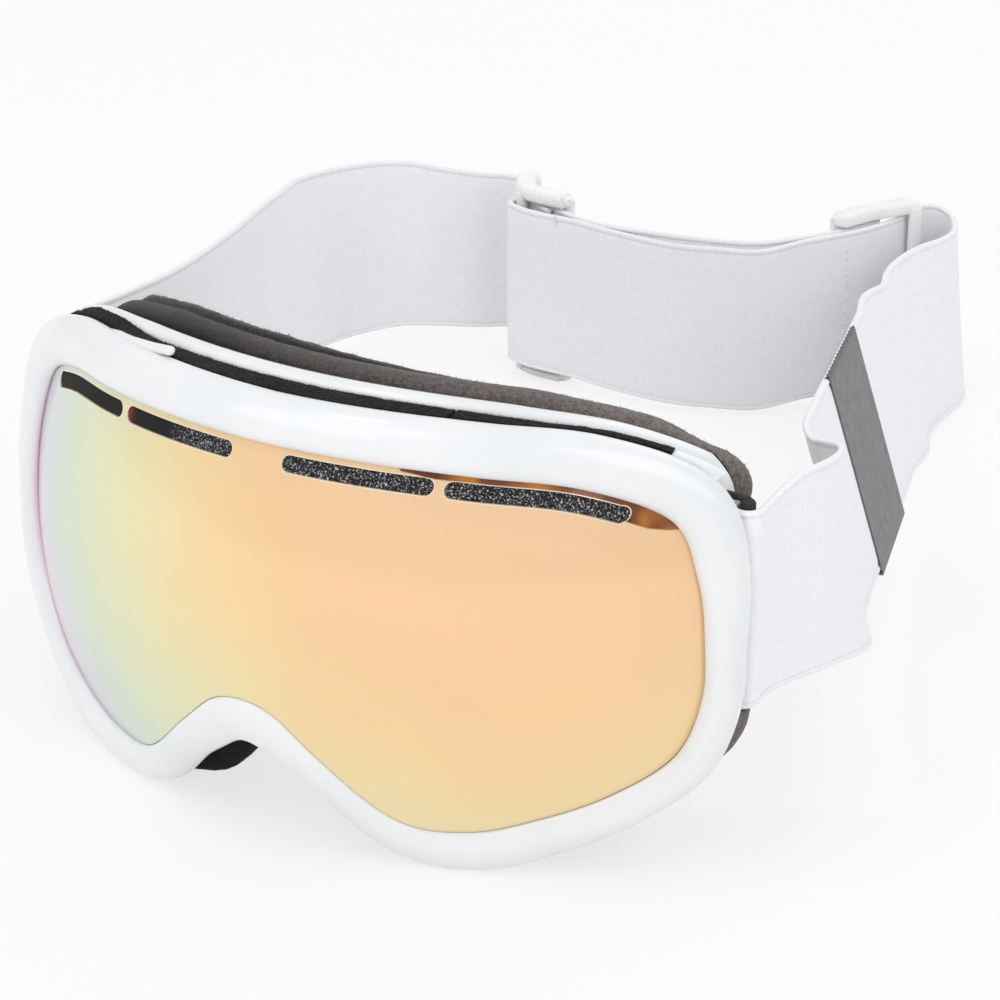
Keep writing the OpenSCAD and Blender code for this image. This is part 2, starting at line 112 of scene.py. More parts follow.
RIGHT_ANGLE = 72
FOLD_REACH = 16
SLIDER_LEN = 28
SLIDER_BAR = 3
SLIDER_RAIL = 3.6
EDGE_GAP = 0.5
BACK_Z = SLIDER_RAIL + EDGE_GAP
CARD_LEN = 50
CARD_T = 0.6
CARD_GAP = 0.5

# Sizes that only the meshes have
LIP_GAP = 0.15
SLIDER_END = 2.6
RAIL_HALF = 2.7
RAIL_BEND = 0.45
LOW_RAIL = 2.2
RIB_H = 0.35
RIB_PITCH = 1.4
ARM_HALF = 0.75
CARD_HALF = 1.2
CARD_WALL = 0.3
CARD_TOOTH = 0.8
CARD_PITCH = 3.3


def lookup(value, table):
    """Straight-line lookup in a list of pairs."""
    keys, values = zip(*table)
    return np.interp(value, keys, values)


def ease(value, start=0, span=1):
    """A rise from 0 to 1 over a span of values, gentle at both ends."""
    t = np.clip((value - start) / span, 0, 1)
    return t * t * (3 - 2 * t)


def unit(directions):
    return directions / np.linalg.norm(directions, axis=-1, keepdims=True)


def around(count):
    return np.linspace(0, 2 * math.pi, count, endpoint=False)


def curve(points, steps, closed):
    """Points on a smooth curve through the given ones, with some steps between two of them."""
    p = np.asarray(points, float)
    n = len(p)
    t = (np.arange(steps) / steps)[:, None]
    spans = []
    for i in range(n if closed else n - 1):
        a, b, c, d = (p[k % n] if closed else p[min(max(k, 0), n - 1)] for k in range(i - 1, i + 3))
        spans.append(b + t / 2 * (c - a + t * (2 * a - 5 * b + 4 * c - d + t * (3 * b - a - 3 * c + d))))
    return np.concatenate(spans if closed else spans + [p[-1:]])


def rounded(section, radius, steps=5):
    """A closed outline with its corners rounded by short curves."""
    p = np.asarray(section, float)
    t = np.linspace(0, 1, steps)[:, None]
    corners = []
    for before, at, after in zip(np.roll(p, 1, 0), p, np.roll(p, -1, 0)):
        reach = [min(radius, 0.48 * np.linalg.norm(q - at)) for q in (before, after)]
        start = at + unit(before - at) * reach[0]
        end = at + unit(after - at) * reach[1]
        corners.append((1 - t) ** 2 * start + 2 * t * (1 - t) * at + t ** 2 * end)
    return np.concatenate(corners)


# The lens's outline, and shares of the way along it from the brow, 0, to the nose, 1
LENS_SHAPE = [(0, 1), (0.29, 0.995), (0.53, 0.98), (0.74, 0.95), (0.91, 0.86), (0.975, 0.71), (1, 0.55),
              (1, 0.38), (0.95, 0.22), (0.825, 0.115), (0.68, 0.048), (0.535, 0.003), (0.375, 0.023),
              (0.195, 0.2), (0.09, 0.3), (0, 0.325)]
LOOP_STEPS = 12
RUN_STATIONS = 360
half_shape = [(x * LENS_W / 2, LENS_BASE + z * LENS_H) for x, z in LENS_SHAPE]
LOOP = curve(half_shape + [(-x, z) for x, z in half_shape[-2:0:-1]], LOOP_STEPS, True)
TANGENT = np.roll(LOOP, -1, 0) - np.roll(LOOP, 1, 0)
NORMAL = unit(np.column_stack([-TANGENT[:, 1], TANGENT[:, 0]]))
ARCH_AT = 0.13
SHOULDER_AT = 0.2
CREST_AT = 0.25
CORNER_AT = 0.27
RAIL_IN = 0.31
TEMPLE_AT = 0.43
RAIL_OUT = 0.5
JAW_AT = 0.58
CHEEK_AT = 0.73
NOSE_SIDE_AT = 0.87
BULGE_START = 0.785
BULGE_AT = 0.84


class Run:
    """Stations along the outline, given as shares, which are below 0 on the wearer's right half."""

    def __init__(self, shares):
        shares = np.asarray(shares, float)
        n = len(LOOP)
        at = shares * n / 2
        low = np.floor(at).astype(int)
        part = (at - low)[:, None]
        self.base = (1 - part) * LOOP[low % n] + part * LOOP[(low + 1) % n]
        self.normal = (1 - part) * NORMAL[low % n] + part * NORMAL[(low + 1) % n]
        turn = np.abs(shares) % 2
        self.share = np.minimum(turn, 2 - turn)

    def out(self, distance):
        """Places [x, z] moved outwards from the lens's edge."""
        return self.base + self.normal * np.reshape(distance, (-1, 1))


WHOLE = Run(np.arange(RUN_STATIONS) * 2 / RUN_STATIONS)


def sphere_y(radius, p):
    """Depth of a sphere centred with the lens at places [x, z]."""
    return LENS_R - np.sqrt(radius ** 2 - p[:, 0] ** 2 - (p[:, 1] - LENS_MID) ** 2)


def place(p, y):
    return np.column_stack([p[:, 0], np.broadcast_to(y, len(p)), p[:, 1]])


# Widths of the bezel along the outline, and how far the rail's edge stands out past the bezel's
BEZEL_WIDTHS = [(0, 8.5), (CORNER_AT, 10), (TEMPLE_AT, 6.2), (CHEEK_AT, 9.6), (NOSE_SIDE_AT, 9), (1, 11)]
RAIL_STEPS = [(0, 1.7), (ARCH_AT, 1.02), (CREST_AT, -1), (RAIL_IN, -8.6), (RAIL_OUT, -8.6), (JAW_AT, -3.8),
              (CHEEK_AT, -3.8), (1, -1.9)]


def bezel_w(run):
    return lookup(run.share, BEZEL_WIDTHS)


def rail_out(run):
    return bezel_w(run) + lookup(run.share, RAIL_STEPS)


corner = Run([CORNER_AT]).out(0)
RAIL_FALL = float(sphere_y(LENS_R, corner)[0]) + FACE_DROP - RAIL_Y


def rail_front(p):
    """Depth of the rail's front, which falls back to the sides, at places [x, z]."""
    return RAIL_Y + RAIL_FALL * (p[:, 0] / corner[0, 0]) ** 2


def brow_room(run):
    """Room behind the lens, which is wider at the brow for the slots' pads."""
    return LEDGE_GAP + SLOT_ROOM * lookup(run.share, [(CREST_AT, 1), (RAIL_IN, 0)])


def ledge_y(run, distance):
    return sphere_y(LENS_R - LENS_T, run.out(distance)) + brow_room(run)


def bezel_back(run):
    return np.maximum(ledge_y(run, LENS_CLEAR) + LEDGE_T, sphere_y(LENS_R, run.out(0)) + BEZEL_DEPTH)


# Materials: nodes round one Principled shader, with textures in the goggles' own frame


def rgb(code):
    """A linear colour from a six-digit code."""
    parts = [int(code[i:i + 2], 16) / 255 for i in (0, 2, 4)]
    return tuple(c / 12.92 if c <= 0.04045 else ((c + 0.055) / 1.055) ** 2.4 for c in parts) + (1,)


def join(tree, value, socket):
    """Gives a socket another node's output, or a plain value."""
    if isinstance(value, bpy.types.NodeSocket):
        tree.links.new(value, socket)
    else:
        socket.default_value = value


def add(tree, kind, inputs=None, **settings):
    """A new node with its settings and inputs."""
    made = tree.nodes.new("ShaderNode" + kind)
    for name, value in settings.items():
        setattr(made, name, value)
    for name, value in (inputs or {}).items():
        join(tree, value, made.inputs[name])
    return made


class Paint:
    """A material and the short hands for its nodes."""

    def __init__(self, name, **sockets):
        self.material = bpy.data.materials.new(name)
        self.material.use_nodes = True
        self.tree = self.material.node_tree
        self.shader = self.tree.nodes["Principled BSDF"]
        self.set(**sockets)
        self.where = self.node("TexCoord").outputs["Object"]

    def set(self, **sockets):
        for name, value in sockets.items():
            socket = name.replace("_", " ").title().replace("Ior", "IOR")
            join(self.tree, value, self.shader.inputs[socket])

    def node(self, kind, inputs=None, **settings):
        return add(self.tree, kind, inputs, **settings)

    def noise(self, size, detail=2.0):
        """Cloudy values of about a size in millimetres."""
        inputs = {"Vector": self.where, "Scale": 1 / (size * MM), "Detail": detail}
        return self.node("TexNoise", inputs).outputs["Fac"]

    def cells(self, size):
        """Distances from the middles of cells of about a size in millimetres."""
        return self.node("TexVoronoi", {"Vector": self.where, "Scale": 1 / (size * MM)}).outputs["Distance"]

    def attribute(self, name):
        return self.node("Attribute", attribute_name=name).outputs["Fac"]

    def math(self, operation, a, b=0.0):
        return self.node("Math", {0: a, 1: b}, operation=operation).outputs[0]

    def times(self, a, b):
        return self.math("MULTIPLY", a, b)

    def wave(self, length, pitch):
        return self.math("SINE", self.times(length, 2 * math.pi / pitch))

    def x(self):
        return self.node("SeparateXYZ", {0: self.where}).outputs[0]

    def fade(self, start, end, top=1.0):
        """Values that rise from 0 to a top between two places along X, in millimetres."""
        span = {"Value": self.x(), "From Min": start * MM, "From Max": end * MM, "To Max": top}
        return self.node("MapRange", span).outputs[0]

    def ramp(self, value, stops):
        made = self.node("ValToRGB", {"Fac": value})
        elements = made.color_ramp.elements
        while len(elements) < len(stops):
            elements.new(1)
        for element, (at, colour) in zip(elements, stops):
            element.position = at
            element.color = rgb(colour) if isinstance(colour, str) else (colour,) * 3 + (1,)
        return made.outputs["Color"]

    def cloudy(self, size, low, high):
        """Clouds of two colours or numbers."""
        return self.ramp(self.noise(size), [(0.3, low), (0.7, high)])

    def mix(self, share, a, b):
        return self.node("Mix", {0: share, 6: a, 7: b}, data_type="RGBA").outputs[2]

    def bump(self, height, depth, strength=1.0):
        made = self.node("Bump", {"Height": height, "Distance": depth * MM, "Strength": strength})
        self.set(normal=made.outputs["Normal"])

    def surface(self, share, a, b):
        """Shows two shaders, mixed by a share."""
        both = self.node("MixShader", {0: share, 1: a, 2: b})
        self.tree.links.new(both.outputs[0], self.tree.nodes["Material Output"].inputs["Surface"])


def moulding(name, tints, shines, sizes, depth, strength, **sockets):
    """Moulded plastic: clouds of two tints and two roughnesses and a fine unevenness, each of a size."""
    paint = Paint(name, **sockets)
    paint.set(base_color=paint.cloudy(sizes[0], *tints), roughness=paint.cloudy(sizes[1], *shines))
    paint.bump(paint.noise(sizes[2]), depth, strength)
    return paint.material


# Places along X where painted shade starts to darken the face foam and where it is darkest
PAINTED_SHADE_SPAN = (60, -30)


def foam_paint(name, dark, light, grain, sheen, depth=0.25, painted_shade=0.0):
    """Open-cell foam: grainy colour, small pits and a soft sheen, with painted shade darkening it to one side
    if asked.
    """
    paint = Paint(name, sheen_weight=sheen, sheen_roughness=0.5, roughness=0.9, specular_ior_level=0.2)
    pits = paint.cells(grain)
    tone = paint.math("ADD", paint.times(paint.noise(grain * 3, 4), 0.7), paint.times(pits, 0.45))
    colour = paint.ramp(tone, [(0.35, dark), (0.75, light)])
    # Painted shade: the colour is mixed towards near-black over a span along X
    if painted_shade:
        colour = paint.mix(paint.fade(*PAINTED_SHADE_SPAN, painted_shade), colour, rgb("0d0b0a"))
    paint.set(base_color=colour)
    paint.bump(paint.math("ADD", pits, paint.noise(grain * 2, 3)), depth, 0.8)
    return paint.material


# Places along X behind the slots at -X: ends of the painted shadow and of the painted warm glow, and the
# glow's edge
SHADE = (-24, -18)
PAINTED_GLOW = (-33.5, -36.2)
PAINTED_GLOW_EDGE = -38


def speckled_foam():
    """Salt-and-pepper foam behind the middle slots, with painted shadow that turns it black towards the outer
    slots and a painted warm glow.
    """
    paint = Paint("speckled_foam", roughness=0.85)
    pepper = paint.noise(0.36, 3)
    salt = paint.ramp(pepper, [(0.47, "0e0e0e"), (0.56, "363637"), (0.63, "a2a2a4"), (0.73, "dedede")])
    # Painted warm glow of light: dark red to orange along X near the slot's end, cut off past its edge
    uncut = paint.math("GREATER_THAN", paint.x(), PAINTED_GLOW_EDGE * MM)
    glow = paint.times(paint.fade(*PAINTED_GLOW), uncut)
    painted_glow = paint.ramp(glow, [(0.0, "0c0a0a"), (0.5, "3a1408"), (1, "8a3410")])
    # Painted shadow: black towards -X, salt-and-pepper towards the middle
    paint.set(base_color=paint.mix(paint.fade(*SHADE), painted_glow, salt))
    paint.bump(pepper, 0.3)
    return paint.material


# Pitches of the webbing's weave and stitches, and a reach for the stitches' row
WEAVE_ALONG = 0.9
WEAVE_ACROSS = 0.7
STITCH_PITCH = 1.5
STITCH_REACH = 4.0


def webbing(name, light, shade):
    """White elastic: a fine ribbed weave, a soft mottle and dashes of stitching inside the hems."""
    paint = Paint(name, sheen_weight=0.25, sheen_roughness=0.6, roughness=0.85, specular_ior_level=0.25)
    length, height = paint.attribute("along"), paint.attribute("across")
    weave = paint.times(paint.wave(length, WEAVE_ALONG), paint.wave(height, WEAVE_ACROSS))
    mottle = paint.noise(0.8, 3)
    cloth = paint.ramp(paint.math("ADD", mottle, paint.times(weave, 0.1)), [(0.2, shade), (0.7, light)])
    edge = paint.math("MINIMUM", height, paint.math("SUBTRACT", STRAP_W, height))
    hem = paint.math("DIVIDE", edge, STITCH_REACH)
    row = paint.ramp(hem, [(0.26, 0.0), (0.31, 0.8), (0.36, 0.8), (0.41, 0.0)])
    dash = paint.ramp(paint.wave(length, STITCH_PITCH), [(0.0, 0.4), (0.4, 1.0)])
    paint.set(base_color=paint.mix(paint.times(row, dash), cloth, rgb("dfe0e8")))
    paint.bump(paint.math("ADD", paint.times(weave, 0.5), mottle), 0.08, 0.45)
    return paint.material


def card_paint():
    """Matt grey card."""
    paint = Paint("card_stock", specular_ior_level=0.3)
    fibre = paint.noise(0.6, 4)
    paint.set(base_color=paint.ramp(fibre, [(0.3, "646466"), (0.7, "727274")]))
    paint.set(roughness=paint.cloudy(3, 0.42, 0.55))
    paint.bump(fibre, 0.03, 0.4)
    return paint.material


# Direction from the lens to the photograph's camera, along which the mirror coat's colours run
VIEW_AZIMUTH = math.radians(31.11)
VIEW_ELEVATION = math.radians(24.08)
VIEW = Vector((math.sin(VIEW_AZIMUTH) * math.cos(VIEW_ELEVATION),
               -math.cos(VIEW_AZIMUTH) * math.cos(VIEW_ELEVATION), math.sin(VIEW_ELEVATION)))


# Colours of the mirror coat with painted reflection, from the side turned away from that camera to the one
# facing it
COAT_WITH_PAINTED_REFLECTION = [(0.12, "f8c4de"), (0.22, "efd2e4"), (0.33, "dfe1e8"), (0.44, "dcebd9"), (0.54, "e9f0cc"),
        (0.64, "f1efc2"), (0.74, "fbe9b4"), (0.82, "ffe0a8"), (0.9, "ffd7a3"), (1.0, "ffd5a9")]
SEE_THROUGH = 0.13


def mirror_lens():
    """Gold mirror coat whose tint, with painted reflection, runs over the round face, with a painted
    highlight round the slots and painted shade in one corner, a little see-through onto an amber lens.
    """
    paint = Paint("mirror_lens", metallic=0.25, roughness=0.12, coat_weight=0.5, coat_roughness=0.02)
    centre = Vector((0, LENS_R, LENS_MID)) * MM
    tilt = paint.node("VectorMath", {0: paint.where, 1: VIEW / (LENS_R * MM)}, operation="DOT_PRODUCT")
    facing = paint.math("SUBTRACT", tilt.outputs["Value"], centre.dot(VIEW) / (LENS_R * MM))
    cloud = paint.times(paint.math("SUBTRACT", paint.noise(26), 0.5), 0.1)
    # Painted reflection: the coat's colour follows the angle to one fixed view direction
    tint = paint.ramp(paint.math("ADD", facing, cloud), COAT_WITH_PAINTED_REFLECTION)
    # Painted highlight: a cream band on the coat round each slot's edge, which is also less see-through
    rim = paint.ramp(paint.attribute("slot"), [(0.1, 1.0), (0.24, 0.0)])
    # Painted shade: a dark amber patch in one corner of the coat, where the dark inside shows through
    painted_shade_tint = paint.ramp(paint.noise(7, 1), [(0.35, "5a2c08"), (0.5, "8a4a10"), (0.7, "c47a26")])
    shaded_coat = paint.mix(paint.attribute("amber"), tint, painted_shade_tint)
    # Painted highlight: cream f6e6c6 laid over the coat near the slots' edges
    paint.set(base_color=paint.mix(rim, shaded_coat, rgb("f6e6c6")))
    paint.bump(paint.noise(14), 0.02, 0.1)
    see = paint.node("BsdfTransparent", {"Color": rgb("ffe0ac")})
    through = paint.times(paint.math("SUBTRACT", 1.0, rim), SEE_THROUGH)
    paint.surface(through, paint.shader.outputs[0], see.outputs[0])
    return paint.material


def amber_lens():
    paint = Paint("amber_lens", roughness=0.06)
    paint.set(base_color=paint.cloudy(20, "d9964a", "e3a860"))
    see = paint.node("BsdfTransparent", {"Color": rgb("ffedcf")})
    gloss = paint.node("LayerWeight", {"Blend": 0.2}).outputs["Fresnel"]
    paint.surface(gloss, see.outputs[0], paint.shader.outputs[0])
    return paint.material


WHITE = moulding("frame_plastic", ("e8eaeb", "eff0f1"), (0.12, 0.18), (30, 6, 2.5), 0.03, 0.25,
                 coat_weight=0.25, coat_roughness=0.04)
DARK = moulding("dark_plastic", ("2c2929", "3a3636"), (0.5, 0.65), (4, 2, 0.8), 0.03, 0.3,
                specular_ior_level=0.3)
MILKY = moulding("milky_plastic", ("f4f4f2", "fafaf9"), (0.3, 0.42), (5, 1.5, 0.8), 0.05, 0.3,
                 subsurface_weight=0.2, subsurface_radius=(2 * MM, 2 * MM, 1.6 * MM), subsurface_scale=1.0)
VENT_FOAM = foam_paint("vent_foam", "0b0a0a", "262322", 0.5, 0.06, 0.4)
BLACK_FOAM = foam_paint("backing_foam", "0c0b0b", "1d1b1b", 0.4, 0.0)
# Face foam with painted shade that darkens it towards -X
FACE_FOAM = foam_paint("face_foam", "4a4340", "827975", 0.35, 0.16, 0.12, 0.9)
FLEECE = foam_paint("fleece", "241f1e", "4a4341", 0.3, 0.4)
SPECKLED = speckled_foam()
WEBBING = webbing("webbing", "f7f7f9", "eeeef2")
THREAD = webbing("thread", "f4f4f6", "d6d6dc")
CARD = card_paint()
MIRROR = mirror_lens()
AMBER = amber_lens()


# Pieces: meshes from rings of points, riding on a body in place of its solids


def new_object(name, data):
    made = bpy.data.objects.new(name, data)
    bpy.context.scene.collection.objects.link(made)
    return made


def smooth(mesh, material, sharp):
    """A material, and smooth shading but for edges sharper than an angle."""
    mesh.materials.append(material)
    mesh.shade_smooth()
    mesh.set_sharp_from_angle(angle=math.radians(sharp))


def piece(name, points, faces, material, body, slot, nodes=(), sharp=40, values=None):
    """A mesh piece in millimetres, with named values on its points, on a body, or left in place when given
    more than a body's name.
    """
    mesh = bpy.data.meshes.new(name)
    mesh.from_pydata((np.asarray(points) * MM).tolist(), [], faces)
    shape = bmesh.new()
    shape.from_mesh(mesh)
    bmesh.ops.recalc_face_normals(shape, faces=shape.faces)
    shape.to_mesh(mesh)
    shape.free()
    smooth(mesh, material, sharp)
    for key, numbers in (values or {}).items():
        layer = mesh.attributes.new(key, "FLOAT", "POINT")
        layer.data.foreach_set("value", np.ravel(numbers).astype(np.float32))
    made = new_object(name, mesh)
    if isinstance(body, str):
        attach(made, body)
    else:
        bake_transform(made)
    if nodes:
        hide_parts(*nodes)
    return made


def band(first, second, count):
    """Faces between two rings of points, from the number of each ring's first point."""
    return [(first + j, first + (j + 1) % count, second + (j + 1) % count, second + j) for j in range(count)]


def skin(rings, closed=False):
    """Points and faces of a closed surface over rings, round a loop or along a run with two ends."""
    rings = np.asarray(rings)
    n, m = rings.shape[:2]
    faces = [face for k in range(n if closed else n - 1) for face in band(k * m, (k + 1) % n * m, m)]
    if not closed:
        faces += [tuple(range(m)), tuple(range((n - 1) * m, n * m))]
    return rings.reshape(-1, 3), faces


def together(parts):
    """Several surfaces as one."""
    points, faces, start = [], [], 0
    for p, f in parts:
        points.append(np.asarray(p))
        faces += [tuple(i + start for i in face) for face in f]
        start += len(p)
    return np.concatenate(points), faces


def ring_normals(rings, closed):
    """Outward directions at the points of rings."""
    if closed:
        forward = np.roll(rings, -1, 0) - np.roll(rings, 1, 0)
    else:
        forward = np.gradient(rings, axis=0)
    round_it = np.roll(rings, -1, 1) - np.roll(rings, 1, 1)
    n = np.cross(forward, round_it)
    n /= np.maximum(np.linalg.norm(n, axis=2), 1e-9)[:, :, None]
    middle = rings.mean(1, keepdims=True)
    flip = np.sign(np.sum((rings - middle) * n, axis=2).mean())
    return n * flip


def roughen(rings, closed, size, height):
    """Rings with a cloudy unevenness."""
    n = ring_normals(rings, closed)
    bumps = np.array([noise.noise(Vector(p / size)) for p in rings.reshape(-1, 3)])
    return rings + n * (bumps.reshape(rings.shape[:2]) * height)[:, :, None]


FIBRE_LEAN = 0.45
FIBRE_SINK = 0.1


def fibres(rings, closed, columns, count, length, seed, thick=0.07):
    """Thin closed spikes that stand on some columns of a ringed surface."""
    dice = np.random.default_rng(seed)
    n = ring_normals(rings, closed)
    k = dice.integers(0, len(rings) - 1, count)
    j = dice.choice(columns, count)
    j2 = (j + 1) % rings.shape[1]
    a, b = dice.random((2, count, 1))

    def between(field):
        near = (1 - b) * field[k, j] + b * field[k, j2]
        far = (1 - b) * field[k + 1, j] + b * field[k + 1, j2]
        return (1 - a) * near + a * far

    root, up = between(rings), between(n)
    lean = dice.normal(0, FIBRE_LEAN, (count, 3))
    tip = root + (up + lean) * length * dice.uniform(0.4, 1.1, (count, 1))
    side = unit(np.cross(up, dice.normal(0, 1, (count, 3))))
    other = np.cross(up, side)
    foot = root - up * FIBRE_SINK
    points = np.stack([foot + side * thick, foot - side * thick / 2 + other * thick * 0.87,
                       foot - side * thick / 2 - other * thick * 0.87, tip], 1).reshape(-1, 3)
    faces = [(4 * i + p, 4 * i + q, 4 * i + r) for i in range(count) for p, q, r in
             ((0, 2, 1), (0, 1, 3), (1, 2, 3), (2, 0, 3))]
    return points, faces


def eased_along(rings, reach, weights):
    """Rings drawn smooth along the outline over a reach of rings, by a weight for each point."""
    eased = rings
    for _ in range(2):
        eased = sum(np.roll(eased, k, 0) for k in range(-reach, reach + 1)) / (2 * reach + 1)
    return rings + (eased - rings) * weights[:, :, None]


# The crown's section in shares of the bezel's width and depth, and how much flatter it gets past the brow
CROWN = [(0.09, -0.15), (0.22, -0.2), (0.47, -0.13), (0.74, 0.1), (0.93, 0.42), (1, 0.72), (0.98, 1)]
CROWN_STEPS = 4
FLATTER = [(0.22, 0), (0.74, 0.2), (0.93, 0.28), (1, 0.28)]
FLAT = (0.3, 0.15)
# Easing of the nose arch's outer edge: rings to reach over, and where on the outline it sets in
ARCH_EASE = 10
ARCH = (0.8, 0.1)


def front_frame():
    """The bezel: a rounded lip at the lens, a broad crown and a ledge behind the lens."""
    run = WHOLE
    w = bezel_w(run)
    edge = sphere_y(LENS_R, run.out(0))
    lip = [(LIP_GAP, edge + 0.6), (LIP_GAP, edge - 0.35), (LIP_GAP + 0.2, edge - 0.68)]
    shares = curve(CROWN, CROWN_STEPS, False)
    flat = ease(run.share, *FLAT)
    crown = [(x * w, edge + (y - flat * lookup(x, FLATTER)) * BEZEL_DEPTH) for x, y in shares]
    back = [(0.9 * w, edge + 1.03 * BEZEL_DEPTH), (LENS_CLEAR + LEDGE_T, ledge_y(run, LENS_CLEAR) + LEDGE_T),
            (-LEDGE_W, ledge_y(run, -LEDGE_W) + LEDGE_T), (-LEDGE_W, ledge_y(run, -LEDGE_W)),
            (LIP_GAP, ledge_y(run, LENS_CLEAR))]
    rings = np.stack([place(run.out(d), y) for d, y in lip + crown + back], 1)
    weights = [0] * len(lip) + [min(max((x - 0.3) / 0.4, 0), 1) for x, _ in shares] + [1, 0.1, 0, 0, 0]
    near_nose = ease(run.share, *ARCH)
    rings = eased_along(rings, ARCH_EASE, near_nose[:, None] * np.array(weights))
    piece("front_frame_shell", *skin(rings, True), WHITE, "frame", "frame_plastic", ["front_frame"])


def face_rings(run, section, flare=0.0, full=0.0):
    """Rings of a section in the face's curve, from the rail's edge and front, flared and fuller outside."""
    columns = []
    for x, y in section:
        p = run.out(rail_out(run) + flare + full * (1 + x / FOAM_W) + x)
        columns.append(place(p, rail_front(p) + y))
    return np.stack(columns, 1)


INSIDE_EASE = 7
INSIDE_START = 0.25
INSIDE_SPAN = 0.5


def pad_rings(run, section, flare, full):
    """Rings of a layer of the pad, with its inner side drawn smooth along the outline."""
    inner = np.clip((-np.array(section)[:, 0] / FOAM_W - INSIDE_START) / INSIDE_SPAN, 0, 1)
    rings = face_rings(run, section, flare, full)
    return eased_along(rings, INSIDE_EASE, np.tile(inner, (len(rings), 1)))


def rear_frame():
    section = rounded([(-RAIL_W, 0), (0, 0), (0, RAIL_T), (-RAIL_W, RAIL_T)], 1.9)
    rings = face_rings(WHOLE, section)
    piece("rear_frame_shell", *skin(rings, True), WHITE, "frame", "frame_plastic", ["rear_frame"])


BACKING_Y = RAIL_T + LAYER_GAP
BACKING_INSET = 1.2
FOAM_Y = BACKING_Y + BACKING_T + LAYER_GAP
FLEECE_Y = FOAM_Y + FOAM_T + LAYER_GAP
FOAM_SHAPE = [(0.92, 0), (0.1, 0), (0.02, 0.18), (0, 0.4), (0.03, 0.65), (0.1, 0.88), (0.2, 1), (0.88, 1),
              (0.97, 0.8), (0.94, 0.4)]
FLEECE_SHAPE = [(0.88, 0), (0.1, 0), (0.06, 0.35), (0.12, 0.75), (0.28, 1), (0.68, 1), (0.86, 0.75),
                (0.92, 0.35)]
# How far the pad's edge flares past the rail's, along the outline
FLARE = [(ARCH_AT, 0), (SHOULDER_AT, -PAD_TUCK / 3), (CREST_AT, -PAD_TUCK), (RAIL_IN, -PAD_TUCK),
         (TEMPLE_AT, 0), (RAIL_OUT, 0), (JAW_AT, FOAM_FLARE), (CHEEK_AT, FOAM_FLARE),
         (NOSE_SIDE_AT, NOSE_FLARE), (1, FOAM_FLARE)]
# Fullness of the pad above and below the strap: how much, where on the outline and half its length
FULLNESS = [(4, 0.29, 0.065), (3.5, 0.56, 0.075)]
# How far the fleece is tucked in, and where along X that starts and over what span
FLEECE_TUCK = 1.8
TUCK = (-20, 60)


def face_pad():
    """Backing, foam and fleece, each a soft ring."""
    run = WHOLE
    low, high = BACKING_Y, BACKING_Y + BACKING_T
    thin = rounded([(-RAIL_W, low), (-BACKING_INSET, low), (-BACKING_INSET, high), (-RAIL_W, high)], 0.5)
    soft = skin(roughen(face_rings(run, thin), True, 1.1, 0.12), True)
    backing = piece("foam_backing_layer", *soft, BLACK_FOAM, "frame", "backing", ["foam_backing"])
    foam = rounded([(-x * FOAM_W, FOAM_Y + y * FOAM_T) for x, y in FOAM_SHAPE], 2.0)
    flare = lookup(run.share, FLARE)
    full = sum(more * ease(1 - np.abs(run.share - at) / half) for more, at, half in FULLNESS)
    rings = roughen(pad_rings(run, foam, flare, full), True, 2.2, 0.12)
    cushion = piece("face_foam_pad", *skin(rings, True), FACE_FOAM, "frame", "face_foam", ["face_foam"], 80)
    fleece = rounded([(-x * FOAM_W, FLEECE_Y + y * FLEECE_T) for x, y in FLEECE_SHAPE], 1.2)
    tuck = FLEECE_TUCK * ease(run.base[:, 0], *TUCK)
    rings = roughen(pad_rings(run, fleece, flare - tuck, full), True, 1.3, 0.2)
    lining = piece("face_fleece_pad", *skin(rings, True), FLEECE, "frame", "fleece", ["face_fleece"], 80)
    nap = range(rings.shape[1])
    piece("face_fleece_nap", *fibres(rings, True, nap, 24000, 0.42, 3, 0.06), FLEECE, "frame", "fleece")


BRIDGE_SHARES = [0.25, 0.58, 0.72, 0.88]
BRIDGE_SPAN = 0.03
BRIDGE_INSET = 0.6
FOAM_CLEAR = 0.002
NOSE_CLEAR = 0.0002
BEFORE = [share - BRIDGE_SPAN / 2 - FOAM_CLEAR for share in BRIDGE_SHARES]
AFTER = [share + BRIDGE_SPAN / 2 + FOAM_CLEAR for share in BRIDGE_SHARES]
VENT_SPLIT = 0.1


def channel_rings(shares, inset, radius, swell=0.0, bulge=0.0):
    """Rings of a block in the channel between the frames, with a swollen back and a bulge at the nose."""
    run = Run(shares)
    edge = bezel_w(run) - inset
    low = edge - VENT_DEPTH
    rise = ease(run.share, BULGE_START, BULGE_AT - BULGE_START)
    bump = bulge * rise * (1 - ease(run.share, BULGE_AT, 1 - BULGE_AT))
    top = edge + bump
    high = np.maximum(edge, rail_out(run) - VENT_TUCK) + swell + bump
    corners = []
    for d, back in ((low, False), (top, False), (high, True), (low, True)):
        p = run.out(d)
        corners.append(place(p, rail_front(p) - SEAT_GAP if back else bezel_back(run) + SEAT_GAP))
    return np.stack([rounded(np.array(ring), radius, 7 if bulge else 5) for ring in zip(*corners)])


# Swelling of the foam over the rail at the wearer's right shoulder, by share of the outline
LEAF = [(-0.225, 0), (-0.19, 1.6), (-0.15, 1.9), (-0.125, 0.4), (-0.11, 0)]
STRIP_STATIONS = 240
STRIP_FIBRES = 8000


